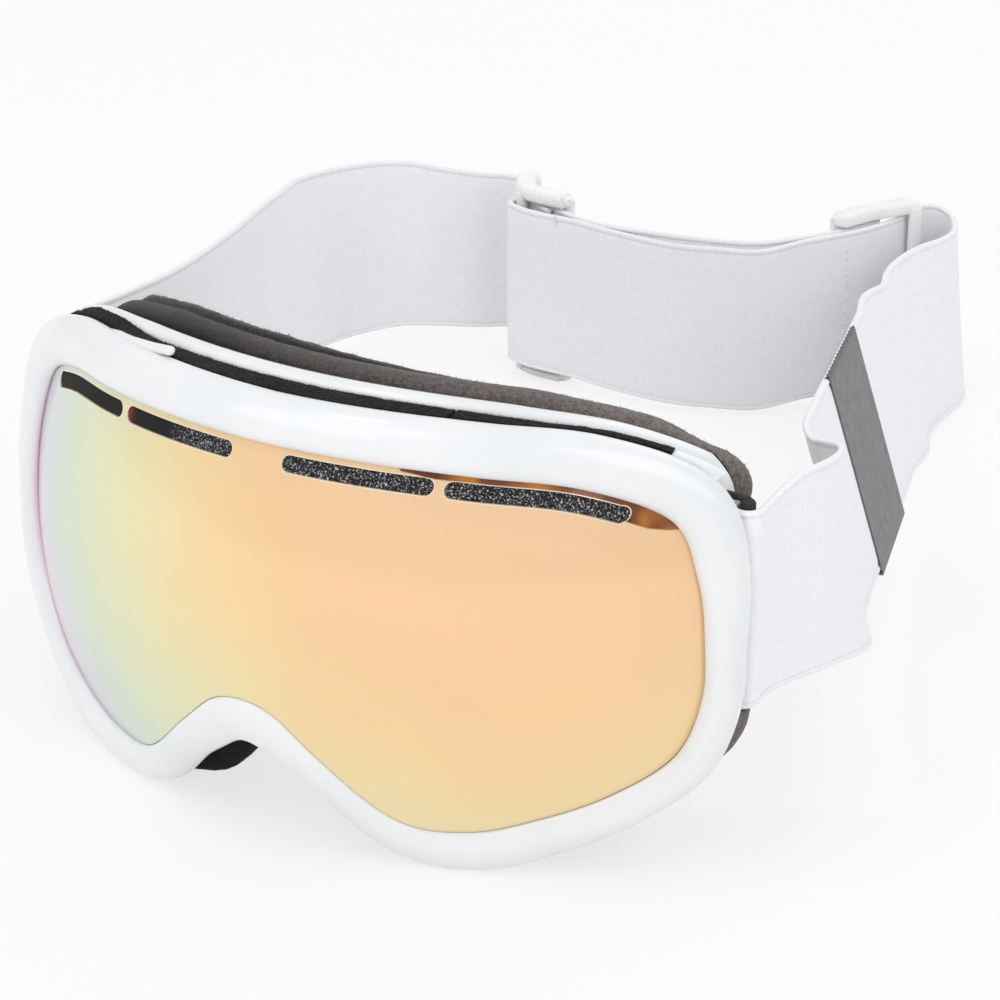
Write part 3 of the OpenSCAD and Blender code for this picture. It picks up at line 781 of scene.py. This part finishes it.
def vent_foam(name, node, spans, seed, material, radius=0.5, bulge=0.0):
    """Strips of vent foam with a ragged nap on the side that shows."""
    strips, naps = [], []
    for i, (start, end) in enumerate(spans):
        share = abs(end - start)
        shares = np.linspace(start, end, max(8, int(share * STRIP_STATIONS)))
        leaf = lookup(shares, LEAF)
        rings = roughen(channel_rings(shares, VENT_INSET, radius, leaf, bulge), False, 0.9, 0.22)
        strips.append(skin(rings))
        nap = range(4, 18) if bulge else range(3, 13)
        naps.append(fibres(rings, False, nap, int(share * STRIP_FIBRES), 0.32, seed + i, 0.05))
    strip = piece(name + "_strip", *together(strips), material, "frame", "vent_foam", [node], 80)
    piece(name + "_nap", *together(naps), material, "frame", "vent_foam")


LOW_RADIUS = 3.4


def vent_foams():
    lap = VENT_SPLIT + FOAM_CLEAR
    nose_seam = BRIDGE_SHARES[3]
    ends = [(AFTER[1], BEFORE[2]), (AFTER[2], nose_seam - NOSE_CLEAR)]
    sides = [(side * start, side * end) for start, end in ends for side in (1, -1)]
    start = nose_seam + NOSE_CLEAR
    vent_foam("top_vent", "top_vent_foam", [(-VENT_SPLIT, VENT_SPLIT)], 11, VENT_FOAM)
    vent_foam("shoulder_vent", "shoulder_vent_foam", [(lap, BEFORE[0]), (-BEFORE[0], -lap)], 21, VENT_FOAM)
    low = (BLACK_FOAM, LOW_RADIUS, NOSE_BULGE)
    vent_foam("lower_vent", "lower_vent_foam", sides, 31, *low)
    vent_foam("nose_vent", "nose_vent_foam", [(start, 2 - start)], 41, *low)


# A thin lip on the bezel: its ends along the outline, and how far it lifts off along its way
TONGUE = (-0.165, -0.077)
TONGUE_LIFT = [(0, 0), (0.45, 0.5), (0.75, 1.3), (1, 2.3)]


def bezel_tongue():
    """The lip on the bezel's back edge at the wearer's right shoulder, free at its round end."""
    shares = np.linspace(*TONGUE, 46)
    run = Run(shares)
    way = (shares - shares[0]) / (shares[-1] - shares[0])
    size = np.minimum(way * 4, 1) ** 0.7 * np.sqrt(np.clip(1 - ((way - 0.95) / 0.05).clip(0) ** 2, 0.02, 1))
    lift = bezel_w(run) - 0.9 + lookup(way, TONGUE_LIFT)
    y = bezel_back(run) - 0.4
    columns = []
    for t in around(16):
        columns.append(place(run.out(lift + size * math.cos(t)), y + 1.2 * size * math.sin(t)))
    rings = np.stack(columns, 1)
    piece("bezel_tongue", *skin(rings), WHITE, "frame", "frame_plastic", (), 60)


def frame_bridges():
    """Short ribs that tie the rear frame to the bezel."""
    parts = []
    for side in (-1, 1):
        for share in BRIDGE_SHARES:
            shares = np.linspace(share - BRIDGE_SPAN / 2, share + BRIDGE_SPAN / 2, 9) * side
            parts.append(skin(channel_rings(shares, BRIDGE_INSET, 0.8)))
    piece("frame_bridge_ribs", *together(parts), WHITE, "frame", "frame_plastic", ["frame_bridges"])


# The lens stack


def top_edge(x):
    """Height of the lens's top edge at a distance from its middle."""
    brow = LOOP[:5 * LOOP_STEPS]
    return np.interp(np.abs(x), brow[:, 0], brow[:, 1])


def slot_outline(start, lap, side, steps=14):
    """A vent slot's outline: a bent bar with round ends."""
    reach = SLOT_H / 2 + lap
    xs = np.linspace(start, start + SLOT_LONG, steps)
    middle = np.column_stack([xs, top_edge(xs) - SLOT_DROP])
    turn = np.linspace(0, math.pi, 11)[1:-1]
    right = middle[-1] + reach * np.column_stack([np.sin(turn), np.cos(turn)])
    left = middle[0] - reach * np.column_stack([np.sin(turn), np.cos(turn)])
    outline = np.concatenate([middle + (0, reach), right, middle[::-1] - (0, reach), left])
    return outline * (side, 1)


SLOTS = [(SLOT_START + i * SLOT_PITCH, side) for i in (0, 1) for side in (-1, 1)]


def inside(points, outline):
    """Whether places lie inside a closed outline."""
    x, z = points[:, 0, None], points[:, 1, None]
    a, b = outline, np.roll(outline, -1, 0)
    over = (a[:, 1] > z) != (b[:, 1] > z)
    rise = np.where(b[:, 1] == a[:, 1], 1e-9, b[:, 1] - a[:, 1])
    cross = a[:, 0] + (z - a[:, 1]) * (b[:, 0] - a[:, 0]) / rise
    return np.sum(over & (x < cross), 1) % 2 == 1


def distance_to(points, outline, chunk=500):
    """Least distance of places from an outline's own points."""
    return np.concatenate([np.linalg.norm(points[i:i + chunk, None] - outline[None], axis=2).min(1)
                           for i in range(0, len(points), chunk)])


def flat_mesh(outline, holes, rims, pitch):
    """Triangles over an outline with holes, on a grid of points that keeps clear of the edges."""
    loops = [outline] + holes + rims
    lo, hi = outline.min(0), outline.max(0)
    xs, zs = (np.arange(lo[i], hi[i], pitch) for i in (0, 1))
    grid = np.stack(np.meshgrid(xs, zs), -1).reshape(-1, 2)
    near = distance_to(grid, np.concatenate(loops))
    grid = grid[inside(grid, outline) & (near > pitch * 0.6)]
    points = np.concatenate(loops + [grid])
    edges, start = [], 0
    for loop in loops:
        n = len(loop)
        edges += [(start + i, start + (i + 1) % n) for i in range(n)]
        start += n
    made = geometry.delaunay_2d_cdt([Vector(p) for p in points], edges, [], 0, 1e-5)
    flat = np.array([tuple(p) for p in made[0]])
    faces = np.array([f for f in made[2] if len(f) == 3])
    middles = flat[faces].mean(1)
    keep = inside(middles, outline)
    for hole in holes:
        keep &= ~inside(middles, hole)
    return flat, [tuple(int(i) for i in f) for f in faces[keep]]


def shell(flat, faces, front_r, back_r):
    """A plate of round glass: the flat mesh on two spheres, joined along its free edges."""
    used = sorted({i for f in faces for i in f})
    new = {old: i for i, old in enumerate(used)}
    flat = flat[used]
    faces = [tuple(new[i] for i in f) for f in faces]
    n = len(flat)
    points = np.concatenate([place(flat, sphere_y(front_r, flat)), place(flat, sphere_y(back_r, flat))])
    edges = Counter(tuple(sorted(edge)) for f in faces for edge in zip(f, f[1:] + f[:1]))
    rim = [(a, b, b + n, a + n) for (a, b), times in edges.items() if times == 1]
    return points, faces + [tuple(i + n for i in f) for f in faces] + rim, np.concatenate([flat, flat])


SLOT_RIM = 0.3
LENS_PITCH = 2.5
PAD_PITCH = 0.8
# Where painted shade turns the coat dark amber, above and past the outer slot at +X
PAINTED_SHADE_CORNER = [(30, 86.1), (36, 85.2), (44, 84.7), (55, 83.3), (63, 81), (66.5, 79), (69, 76.9), (72, 75.4),
                (75, 74.6), (82, 74), (82, 92), (30, 92)]


def lens_stack():
    """Outer lens with slots, the pads behind them, and the inner lens and gasket as they are."""
    holes = [slot_outline(start, 0, side) for start, side in SLOTS]
    rims = [slot_outline(start, SLOT_RIM, side) for start, side in SLOTS]
    # Outline of the painted shade in the coat's corner
    shade_outline = np.array(PAINTED_SHADE_CORNER, float)
    rims += [shade_outline, shade_outline - (0, SLOT_RIM)]
    points, faces, flat = shell(*flat_mesh(LOOP, holes, rims, LENS_PITCH), LENS_R, LENS_R - LENS_T)
    # The amber values mark the coat's painted shade; the slot values give distances for the painted highlight
    # round the slots
    values = {"amber": inside(flat + (0, 0.1), shade_outline), "slot": distance_to(flat, np.concatenate(holes))}
    piece("outer_lens_glass", points, faces, MIRROR, "lens", "mirror_lens", ["outer_lens"], 30, values)
    pads = []
    front = LENS_R - LENS_T - GLUE_GAP
    for start, side in SLOTS:
        for lap, near, far in ((0.5, front, front - SLOT_PAD_T), (-0.1, LENS_R - 0.3, front - 0.1)):
            p, f, _ = shell(*flat_mesh(slot_outline(start, lap, side), [], [], PAD_PITCH), near, far)
            pads.append((p, f))
    pad = piece("slot_foam", *together(pads), SPECKLED, "lens", "vent_foam", ["slot_pads"], 30)
    for node, material in (("inner_lens", AMBER), ("lens_gasket", BLACK_FOAM)):
        mesh = frame["nodes"][node].data
        mesh.materials.clear()
        smooth(mesh, material, 30)


# The strap: ribbons along routes of [x, y, lower edge's height, upper edge's lean to the right of travel]

OUTER_R = BOW_R - STRAP_T - STRAP_GAP
post_low, post_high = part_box("strap_post_right")
POST = (post_high.x / MM - POST_D * 0.75, (post_low.y + post_high.y) / 2 / MM)
STRAP_Z = 34
LOOP_R = POST_D / 2 + LOOP_GAP + STRAP_T + LOOP_EASE - STRAP_T / 2 - LOOP_EASE / 3
BAR_RUN = SLIDER_BAR / 2 + LOOP_GAP + STRAP_T + LOOP_EASE - STRAP_T / 2 + LOOP_EASE
RUN_X = POST[0] + LOOP_R
RIGHT_ROUTE = [(93, 78, 33, -2), (93.5, 92, 30, -7), (90, 103, 27, -12), (83, 115, 24.2, -14),
               (76, 134, 21.5, -14), (67, 161, 17.8, -14), (58, 188, 14.1, -14), (49, 215, 10.4, -14),
               (43, 233, 7.5, -15), (38, 253, 3.5, -14), (31, 270, 1.2, -13), (29, 285, 0.6, -12),
               (28.5, 297, 0.6, -9), (25, 306, 1.2, -5), (18.5, 312, 2.6, -2), (12, 313.5, 3.7, 0)]
LEFT_ROUTE = [(-91, 90, 31, 0), (-97, 117, 27, -1), (-112, 158, 20, -2), (-127, 199, 13, -5),
              (-133, 222, 8.5, -9), (-136, 238, 5.5, -13), (-135, 250, 4.1, -14), (-129, 260, 4.1, -12),
              (-120, 265.5, 4.1, -6), (-110, 270.5, 4.1, -2), (-103, 275, 4.1, 0)]
STRAIGHT_START = 8
ROUTE_STEPS = 8
TANGENT_TURN = 4
# Half section of the webbing, with a rolled hem: distance from its edge and half its thickness
HEM = [(0, 0.15), (0.15, 0.58), (0.5, 0.84), (0.9, 0.8), (1.2, 0.56), (1.5, 0.5), (1.9, 0.62), (2.8, 0.73),
       (6, 0.76)]
HALF_THICK = 0.78


def turn_of(length):
    """Degrees of a length along the bow."""
    return math.degrees(length / BOW_R)


RIGHT_FOLD = RIGHT_ANGLE + turn_of(FOLD_REACH)
LEFT_FOLD = -LEFT_ANGLE - turn_of(FOLD_REACH)
GAP_TURN = turn_of(0.35)
TAIL_ANGLE = 9
# How far the webbing's top edge is drawn down at its post, over what reach, and a reach to each side of the
# right strap's fold
ROOT_DIP = 3
ROOT_REACH = 14
BEND = 3


def bow_point(radius, angle):
    a = np.radians(angle)
    return np.column_stack([BOW[0] + radius * np.sin(a), BOW[1] - radius * np.cos(a)])


# Where the near layer leaves the bow for its slider, and soft waves of the layers: middle, height, half width
LEAVE_ANGLE = -12
NEAR_WAVES = [(20, -1.6, 16), (37, -1.9, 9)]
FAR_WAVES = [(8, 0.5, 12), (36, -0.8, 10)]


def near_radius(angles):
    """Radius of the near layer, which swings out in front of its slider's bar."""
    return BOW_R + 2 * BAR_RUN * ease(LEAVE_ANGLE - angles, 0, LEAVE_ANGLE + LEFT_ANGLE)


def bow_stops(radius, start, end, count, waves=()):
    angles = np.linspace(start, end, count)
    p = bow_point(radius(angles) if callable(radius) else radius, angles)
    height = BACK_Z + sum(h * np.exp(-((angles - middle) / half) ** 2) for middle, h, half in waves)
    return np.column_stack([p, np.broadcast_to(height, count), np.zeros(count)])


def loop_stops(centre, radius, start, end, z, count=22):
    """Stops round a post or a bar, between two angles from +X."""
    a = np.radians(np.linspace(start, end, count))
    return np.column_stack([centre[0] + radius * np.cos(a), centre[1] + radius * np.sin(a), np.full(count, z),
                            np.zeros(count)])


def side_stops(side, route, radius, fold):
    """Stops of a side strap, from its loop on the post to the fold at the back."""
    post = (side * POST[0], POST[1])
    turns = (100, 355) if side > 0 else (80, -175)
    loop = loop_stops(post, LOOP_R, *turns, STRAP_Z)
    start = [(side * RUN_X, POST[1], STRAP_Z, 0), (side * RUN_X, POST[1] + STRAIGHT_START, STRAP_Z, 0)]
    end = bow_stops(radius, fold + side * (GAP_TURN + TANGENT_TURN), fold + side * GAP_TURN, 2)
    return np.concatenate([loop, curve(start + route + [tuple(e) for e in end], ROUTE_STEPS, False)])


def track(plan):
    """Directions to the right of a way in plan, and the lengths along it."""
    run = unit(np.gradient(plan, axis=0))
    length = np.concatenate([[0], np.cumsum(np.linalg.norm(np.diff(plan, axis=0), axis=1))])
    return np.column_stack([run[:, 1], -run[:, 0]]), length


def ribbon(name, stops, body, nodes, dip=0.0):
    """Webbing along stops, with the lengths along and across it as values. A dip lowers its top edge."""
    plan = stops[:, :2]
    right, length = track(plan)
    half = HEM + [(STRAP_W / 2, HALF_THICK)] + [(STRAP_W - v, h) for v, h in HEM[::-1]]
    section = half + [(v, -h) for v, h in half[::-1]]
    columns = []
    for v, h in section:
        sunk = dip * ease(v, STRAP_W / 2, STRAP_W / 2)
        side = plan + right * (stops[:, 3:] * v / STRAP_W + h)
        columns.append(np.column_stack([side, stops[:, 2] + v - sunk]))
    across = np.tile([v for v, _ in section], len(stops))
    values = {"along": np.repeat(length, len(section)), "across": across}
    piece(name, *skin(np.stack(columns, 1)), WEBBING, body, "webbing", nodes, 75, values)


def root_dip(stops):
    return ROOT_DIP * (1 - ease(stops[:, 1] - POST[1], LOOP_R, ROOT_REACH))


def straps():
    right = side_stops(1, RIGHT_ROUTE, BOW_R, RIGHT_FOLD)
    back = bow_stops(near_radius, RIGHT_FOLD - GAP_TURN, -LEFT_ANGLE, 90, NEAR_WAVES)
    left_bar = bow_point(BOW_R + BAR_RUN, -LEFT_ANGLE)[0]
    sewn = loop_stops(left_bar, BAR_RUN, 270 - LEFT_ANGLE, 90 - LEFT_ANGLE, BACK_Z)
    tail = bow_stops(BOW_R, -LEFT_ANGLE, TAIL_ANGLE - LEFT_ANGLE, 8)
    stops = np.concatenate([right, back, sewn[1:], tail[1:]])
    x, y = bow_point(BOW_R, RIGHT_FOLD)[0]
    bend = ("right_strap", "back_inner", ((x + BEND) * MM, y * MM, 0), ((x - BEND) * MM, y * MM, 0))
    ribbon("strap_webbing_right", stops, bend, ["strap_right", "strap_back_inner"], root_dip(stops))
    left = side_stops(-1, LEFT_ROUTE, OUTER_R, LEFT_FOLD)
    ribbon("strap_webbing_left", left, "left_strap", ["strap_left"], root_dip(left))
    back = bow_stops(OUTER_R, LEFT_FOLD + GAP_TURN, RIGHT_ANGLE, 90, FAR_WAVES)
    right_bar = bow_point(OUTER_R - BAR_RUN, RIGHT_ANGLE)[0]
    sewn = loop_stops(right_bar, BAR_RUN, RIGHT_ANGLE - 90, RIGHT_ANGLE - 90 + 285, BACK_Z)
    ribbon("strap_webbing_back", np.concatenate([back, sewn[1:]]), "back_outer", ["strap_back_outer"])


def level(plan, z):
    return np.column_stack([plan, np.full(len(plan), z)])


# Rows of thread: angle on the bow, lowest and highest place, pitch, half a stitch's length, and its breadth
SEAMS = [(-19.5, BACK_Z + 43.6, BACK_Z + 45.8, 0.7, 0.45, 2.5),
         (60.5, BACK_Z + 4, BACK_Z + STRAP_W - 3, 2.3, 0.8, 1)]
THREAD_LIFT = 0.8
THREAD_HALF = 0.3


def stitches():
    """Rows of thread where the webbing is sewn back on itself beside the sliders."""
    turn = around(10)
    parts = []
    for angle, low, high, pitch, length, wide in SEAMS:
        radius = near_radius(np.array(angle)) + THREAD_LIFT
        for z in np.arange(low, high, pitch):
            rings = []
            for s in np.linspace(-1, 1, 7):
                thick = THREAD_HALF * math.sqrt(max(1 - s * s, 0.03))
                p = bow_point(radius + thick * np.cos(turn), angle + turn_of(1) * thick * wide * np.sin(turn))
                rings.append(level(p, z + s * length))
            parts.append(skin(rings))
    piece("seam_thread", *together(parts), THREAD, "back_inner", "webbing", (), 80)


BEND_STEPS = 56
RAIL_RADIUS = 1.3
LOOP_BAR_HALF = 1.5
END_BAR_HALF = 2.4


def slider(name, body, node, loop_r, bars_r, angle):
    """A milky slider: two thin rails that bend from bar to bar, ribbed on top, and three upright bars."""
    top = 2 * BACK_Z + STRAP_W - SLIDER_RAIL
    end_turn = turn_of(SLIDER_LEN / 2 - SLIDER_END)
    full_turn = turn_of(SLIDER_LEN / 2)
    reach = (loop_r, *bars_r)
    middle = (min(reach) + max(reach)) / 2
    first, tip, last = (middle + RAIL_BEND * (r - middle) for r in (bars_r[0], loop_r, bars_r[1]))
    bends = [(first, -full_turn), (first, -end_turn), (tip, 0), (last, end_turn), (last, full_turn)]
    way = curve(bends, BEND_STEPS, False)
    plan = bow_point(way[:, 0], angle + way[:, 1])
    aside, length = track(plan)
    to_end = np.minimum(length, length[-1] - length)
    swell = np.sqrt(np.clip(1 - (1 - to_end / SLIDER_END).clip(0) ** 2, 0.04, 1))
    ribs = np.sqrt(np.maximum(0, np.cos(length * 2 * math.pi / RIB_PITCH))) * (to_end > 1)
    parts = []
    for z0, rail, ridge in ((0, LOW_RAIL, 0), (top, SLIDER_RAIL, RIB_H)):
        rings = []
        for p, n, w, rib in zip(plan, aside, swell, ribs):
            half, rise = RAIL_HALF * w, rail / 2 * (0.35 + 0.65 * w)
            crest = rise + ridge * rib
            section = rounded([(-half, -rise), (half, -rise), (half, crest), (-half, crest)], RAIL_RADIUS)
            rings.append(np.column_stack([p + n * section[:, :1], z0 + rail / 2 + section[:, 1]]))
        parts.append(skin(rings))
    a = around(24)
    heights = np.linspace(LOW_RAIL / 2, top + SLIDER_RAIL / 2, 12)
    bars = [(loop_r, 0, LOOP_BAR_HALF)]
    bars += [(r, side * end_turn, END_BAR_HALF) for r, side in zip(bars_r, (-1, 1))]
    for r, turn, wide in bars:
        p = bow_point(r + SLIDER_BAR / 2 * np.cos(a), angle + turn + turn_of(1) * wide * np.sin(a))
        parts.append(skin([level(p, z) for z in heights]))
    piece(name, *together(parts), MILKY, body, "slider_plastic", [node], 50)


def sliders():
    inner = OUTER_R - STRAP_T / 2 - STRAP_GAP - SLIDER_BAR / 2
    outer = BOW_R + STRAP_T / 2 + STRAP_GAP + SLIDER_BAR / 2
    left_loop, right_loop = BOW_R + BAR_RUN, OUTER_R - BAR_RUN
    slider("slider_left_frame", "back_inner", "slider_left", left_loop, [inner, inner], -LEFT_ANGLE)
    slider("slider_right_frame", "back_outer", "slider_right", right_loop, [inner, outer], RIGHT_ANGLE)


def card_section(gap, half, slant, radius):
    """Outline across the card: round the strap at a gap, with one top corner slanted."""
    near = [(-gap, half), (STRAP_W - 2, half), (STRAP_W - 1, half), (STRAP_W + gap, half)]
    return rounded([(-gap, -half)] + near + [(STRAP_W - slant, -half)], radius)


CARD_STATIONS = 121


def card_sleeve():
    """A thin folded card round the strap's straight stretch, with a pinked edge along its top fold."""
    ends = np.array([RIGHT_ROUTE[4], RIGHT_ROUTE[7]], float)
    way = ends[1] - ends[0]
    along = np.linspace(-CARD_LEN / 2, CARD_LEN / 2, CARD_STATIONS)
    stops = ends[0] + way * (0.5 + along / np.linalg.norm(way[:3]))[:, None]
    run = unit(way[:2])
    right = np.array([run[1], -run[0]])
    tooth = -CARD_TOOTH * np.abs(along / CARD_PITCH % 1 * 2 - 1)
    outer = card_section(CARD_GAP + CARD_T, CARD_HALF, 0.7, 0.4)
    inner = card_section(CARD_GAP, CARD_HALF - CARD_WALL, 0.5, 0.25)

    def rings_of(section, drop):
        columns = []
        for v, h in section:
            height = v + drop * (v > STRAP_W + CARD_GAP + 0.1)
            plan = stops[:, :2] + right * (stops[:, 3:] * v / STRAP_W + h)
            columns.append(np.column_stack([plan, stops[:, 2] + height]))
        return np.stack(columns, 1)

    rings = np.concatenate([rings_of(outer, tooth), rings_of(inner, 0)[::-1]])
    piece("card_sleeve_fold", *skin(rings, True), CARD, "card", "card", ["card_sleeve"])


def strap_posts():
    """A round post at each temple on two slim arms that reach out from the rail."""
    run = Run(np.linspace(0.66, 0.27, 90))
    rail = run.out(rail_out(run))
    turn = around(20)
    circle = np.column_stack([np.cos(turn), np.sin(turn)])
    low, high = STRAP_Z - STRAP_GAP - POST_ARM, STRAP_Z + STRAP_W + STRAP_GAP - ROOT_DIP
    ends = [(low, 0.4), (low + 0.5, 0.8), (low + POST_ARM, 1), (high, 1), (high + 0.5, 0.8), (high + 1, 0.4)]
    for side, name in ((1, "strap_post_right"), (-1, "strap_post_left")):
        parts = []
        for z in (low, high):
            start = np.interp(z + POST_ARM / 2, rail[:, 1], rail[:, 0]) - 1
            rings = []
            for t in np.linspace(0, 1, 24):
                x = start + (POST[0] + ARM_HALF - start) * t
                slim = math.sqrt(max(1 - max(0, (t - 0.8) / 0.2) ** 2, 0.05))
                across = circle * (ARM_HALF * slim, POST_ARM / 2 * slim) + (POST[1], z + POST_ARM / 2)
                rings.append(np.column_stack([np.full(len(turn), side * x), across]))
            parts.append(skin(rings))
        middle = np.array([side * POST[0], POST[1]])
        rings = [level(middle + circle * (POST_D / 2 * slim), z) for z, slim in ends]
        parts.append(skin(rings))
        piece(name + "_arms", *together(parts), DARK, "frame", "frame_plastic", [name], 50)


front_frame()
rear_frame()
frame_bridges()
bezel_tongue()
face_pad()
vent_foams()
lens_stack()
straps()
stitches()
sliders()
card_sleeve()
strap_posts()


# The stage: a pale floor, soft lights and the photograph's camera

WORLD_LIGHT = 0.76
FLOOR_LIT = 0.28
FLOOR_REACH = 8
MIDDLE = (0, 0.12, 0.05)
# Lamps: name, place, size, power and whether gloss mirrors it
LAMPS = [("key", (-0.5, -0.9, 1.4), 1.2, 4.3, True), ("fill", (1.2, -0.5, 1.0), 1.0, 4, True),
         ("back", (0.1, 1.4, 1.2), 1.0, 3, True), ("low", (0.0, -1.1, 0.05), 0.6, 2.0, False),
         ("strip", (-0.35, -0.1, 1.2), 0.08, 0.7, True)]
# What the camera looks at, how far from, and its focal length, all in millimetres
TARGET = (24.45, 60, 61.07)
DISTANCE = 646.9
FOCAL = 112.38


def backdrop(tree, output, lit, shown):
    """Lets one shader light the object while the camera, mirrors and glass see the other."""
    path = add(tree, "LightPath").outputs
    seen = path["Is Camera Ray"]
    for name in ("Is Glossy Ray", "Is Transmission Ray"):
        seen = add(tree, "Math", {0: seen, 1: path[name]}, operation="MAXIMUM").outputs[0]
    both = add(tree, "MixShader", {0: seen, 1: lit.outputs[0], 2: shown.outputs[0]})
    tree.links.new(both.outputs[0], tree.nodes[output].inputs["Surface"])


def world():
    made = bpy.data.worlds.new("studio")
    made.use_nodes = True
    tree = made.node_tree
    lit = tree.nodes["Background"]
    lit.inputs["Color"].default_value = (0.97, 0.98, 1, 1)
    lit.inputs["Strength"].default_value = WORLD_LIGHT
    shown = add(tree, "Background", {"Strength": 1})
    backdrop(tree, "World Output", lit, shown)
    bpy.context.scene.world = made


def floor():
    made = bpy.data.materials.new("floor")
    made.use_nodes = True
    tree = made.node_tree
    lit = add(tree, "BsdfDiffuse", {"Color": (0.92, 0.92, 0.92, 1)})
    glow = add(tree, "Emission")
    share = add(tree, "MixShader", {0: FLOOR_LIT, 1: glow.outputs[0], 2: lit.outputs[0]})
    backdrop(tree, "Material Output", lit, share)
    mesh = bpy.data.meshes.new("floor")
    corners = [(FLOOR_REACH * x, FLOOR_REACH * y, 0) for x, y in ((-1, -1), (1, -1), (1, 1), (-1, 1))]
    mesh.from_pydata(corners, [], [(0, 1, 2, 3)])
    mesh.materials.append(made)
    new_object("floor", mesh)


def aimed(name, data, at, way):
    """A lamp or camera at a place that looks along a way."""
    made = new_object(name, data)
    made.location = at
    made.rotation_mode = "QUATERNION"
    made.rotation_quaternion = way.to_track_quat("-Z", "Y")
    return made


def softbox(name, at, size, power, mirrored):
    light = bpy.data.lights.new(name, "AREA")
    light.shape = "SQUARE"
    light.size = size
    light.energy = power
    aimed(name, light, at, Vector(MIDDLE) - Vector(at)).visible_glossy = mirrored


def camera():
    """The photograph's view: its direction, distance and framing were fitted to the lens and the frame."""
    data = bpy.data.cameras.new("camera")
    data.sensor_width = 36
    data.lens = FOCAL
    at = (Vector(TARGET) + VIEW * DISTANCE) * MM
    bpy.context.scene.camera = aimed("camera", data, at, -VIEW)


world()
floor()
for lamp in LAMPS:
    softbox(*lamp)
camera()
bpy.context.scene.view_settings.view_transform = "Standard"
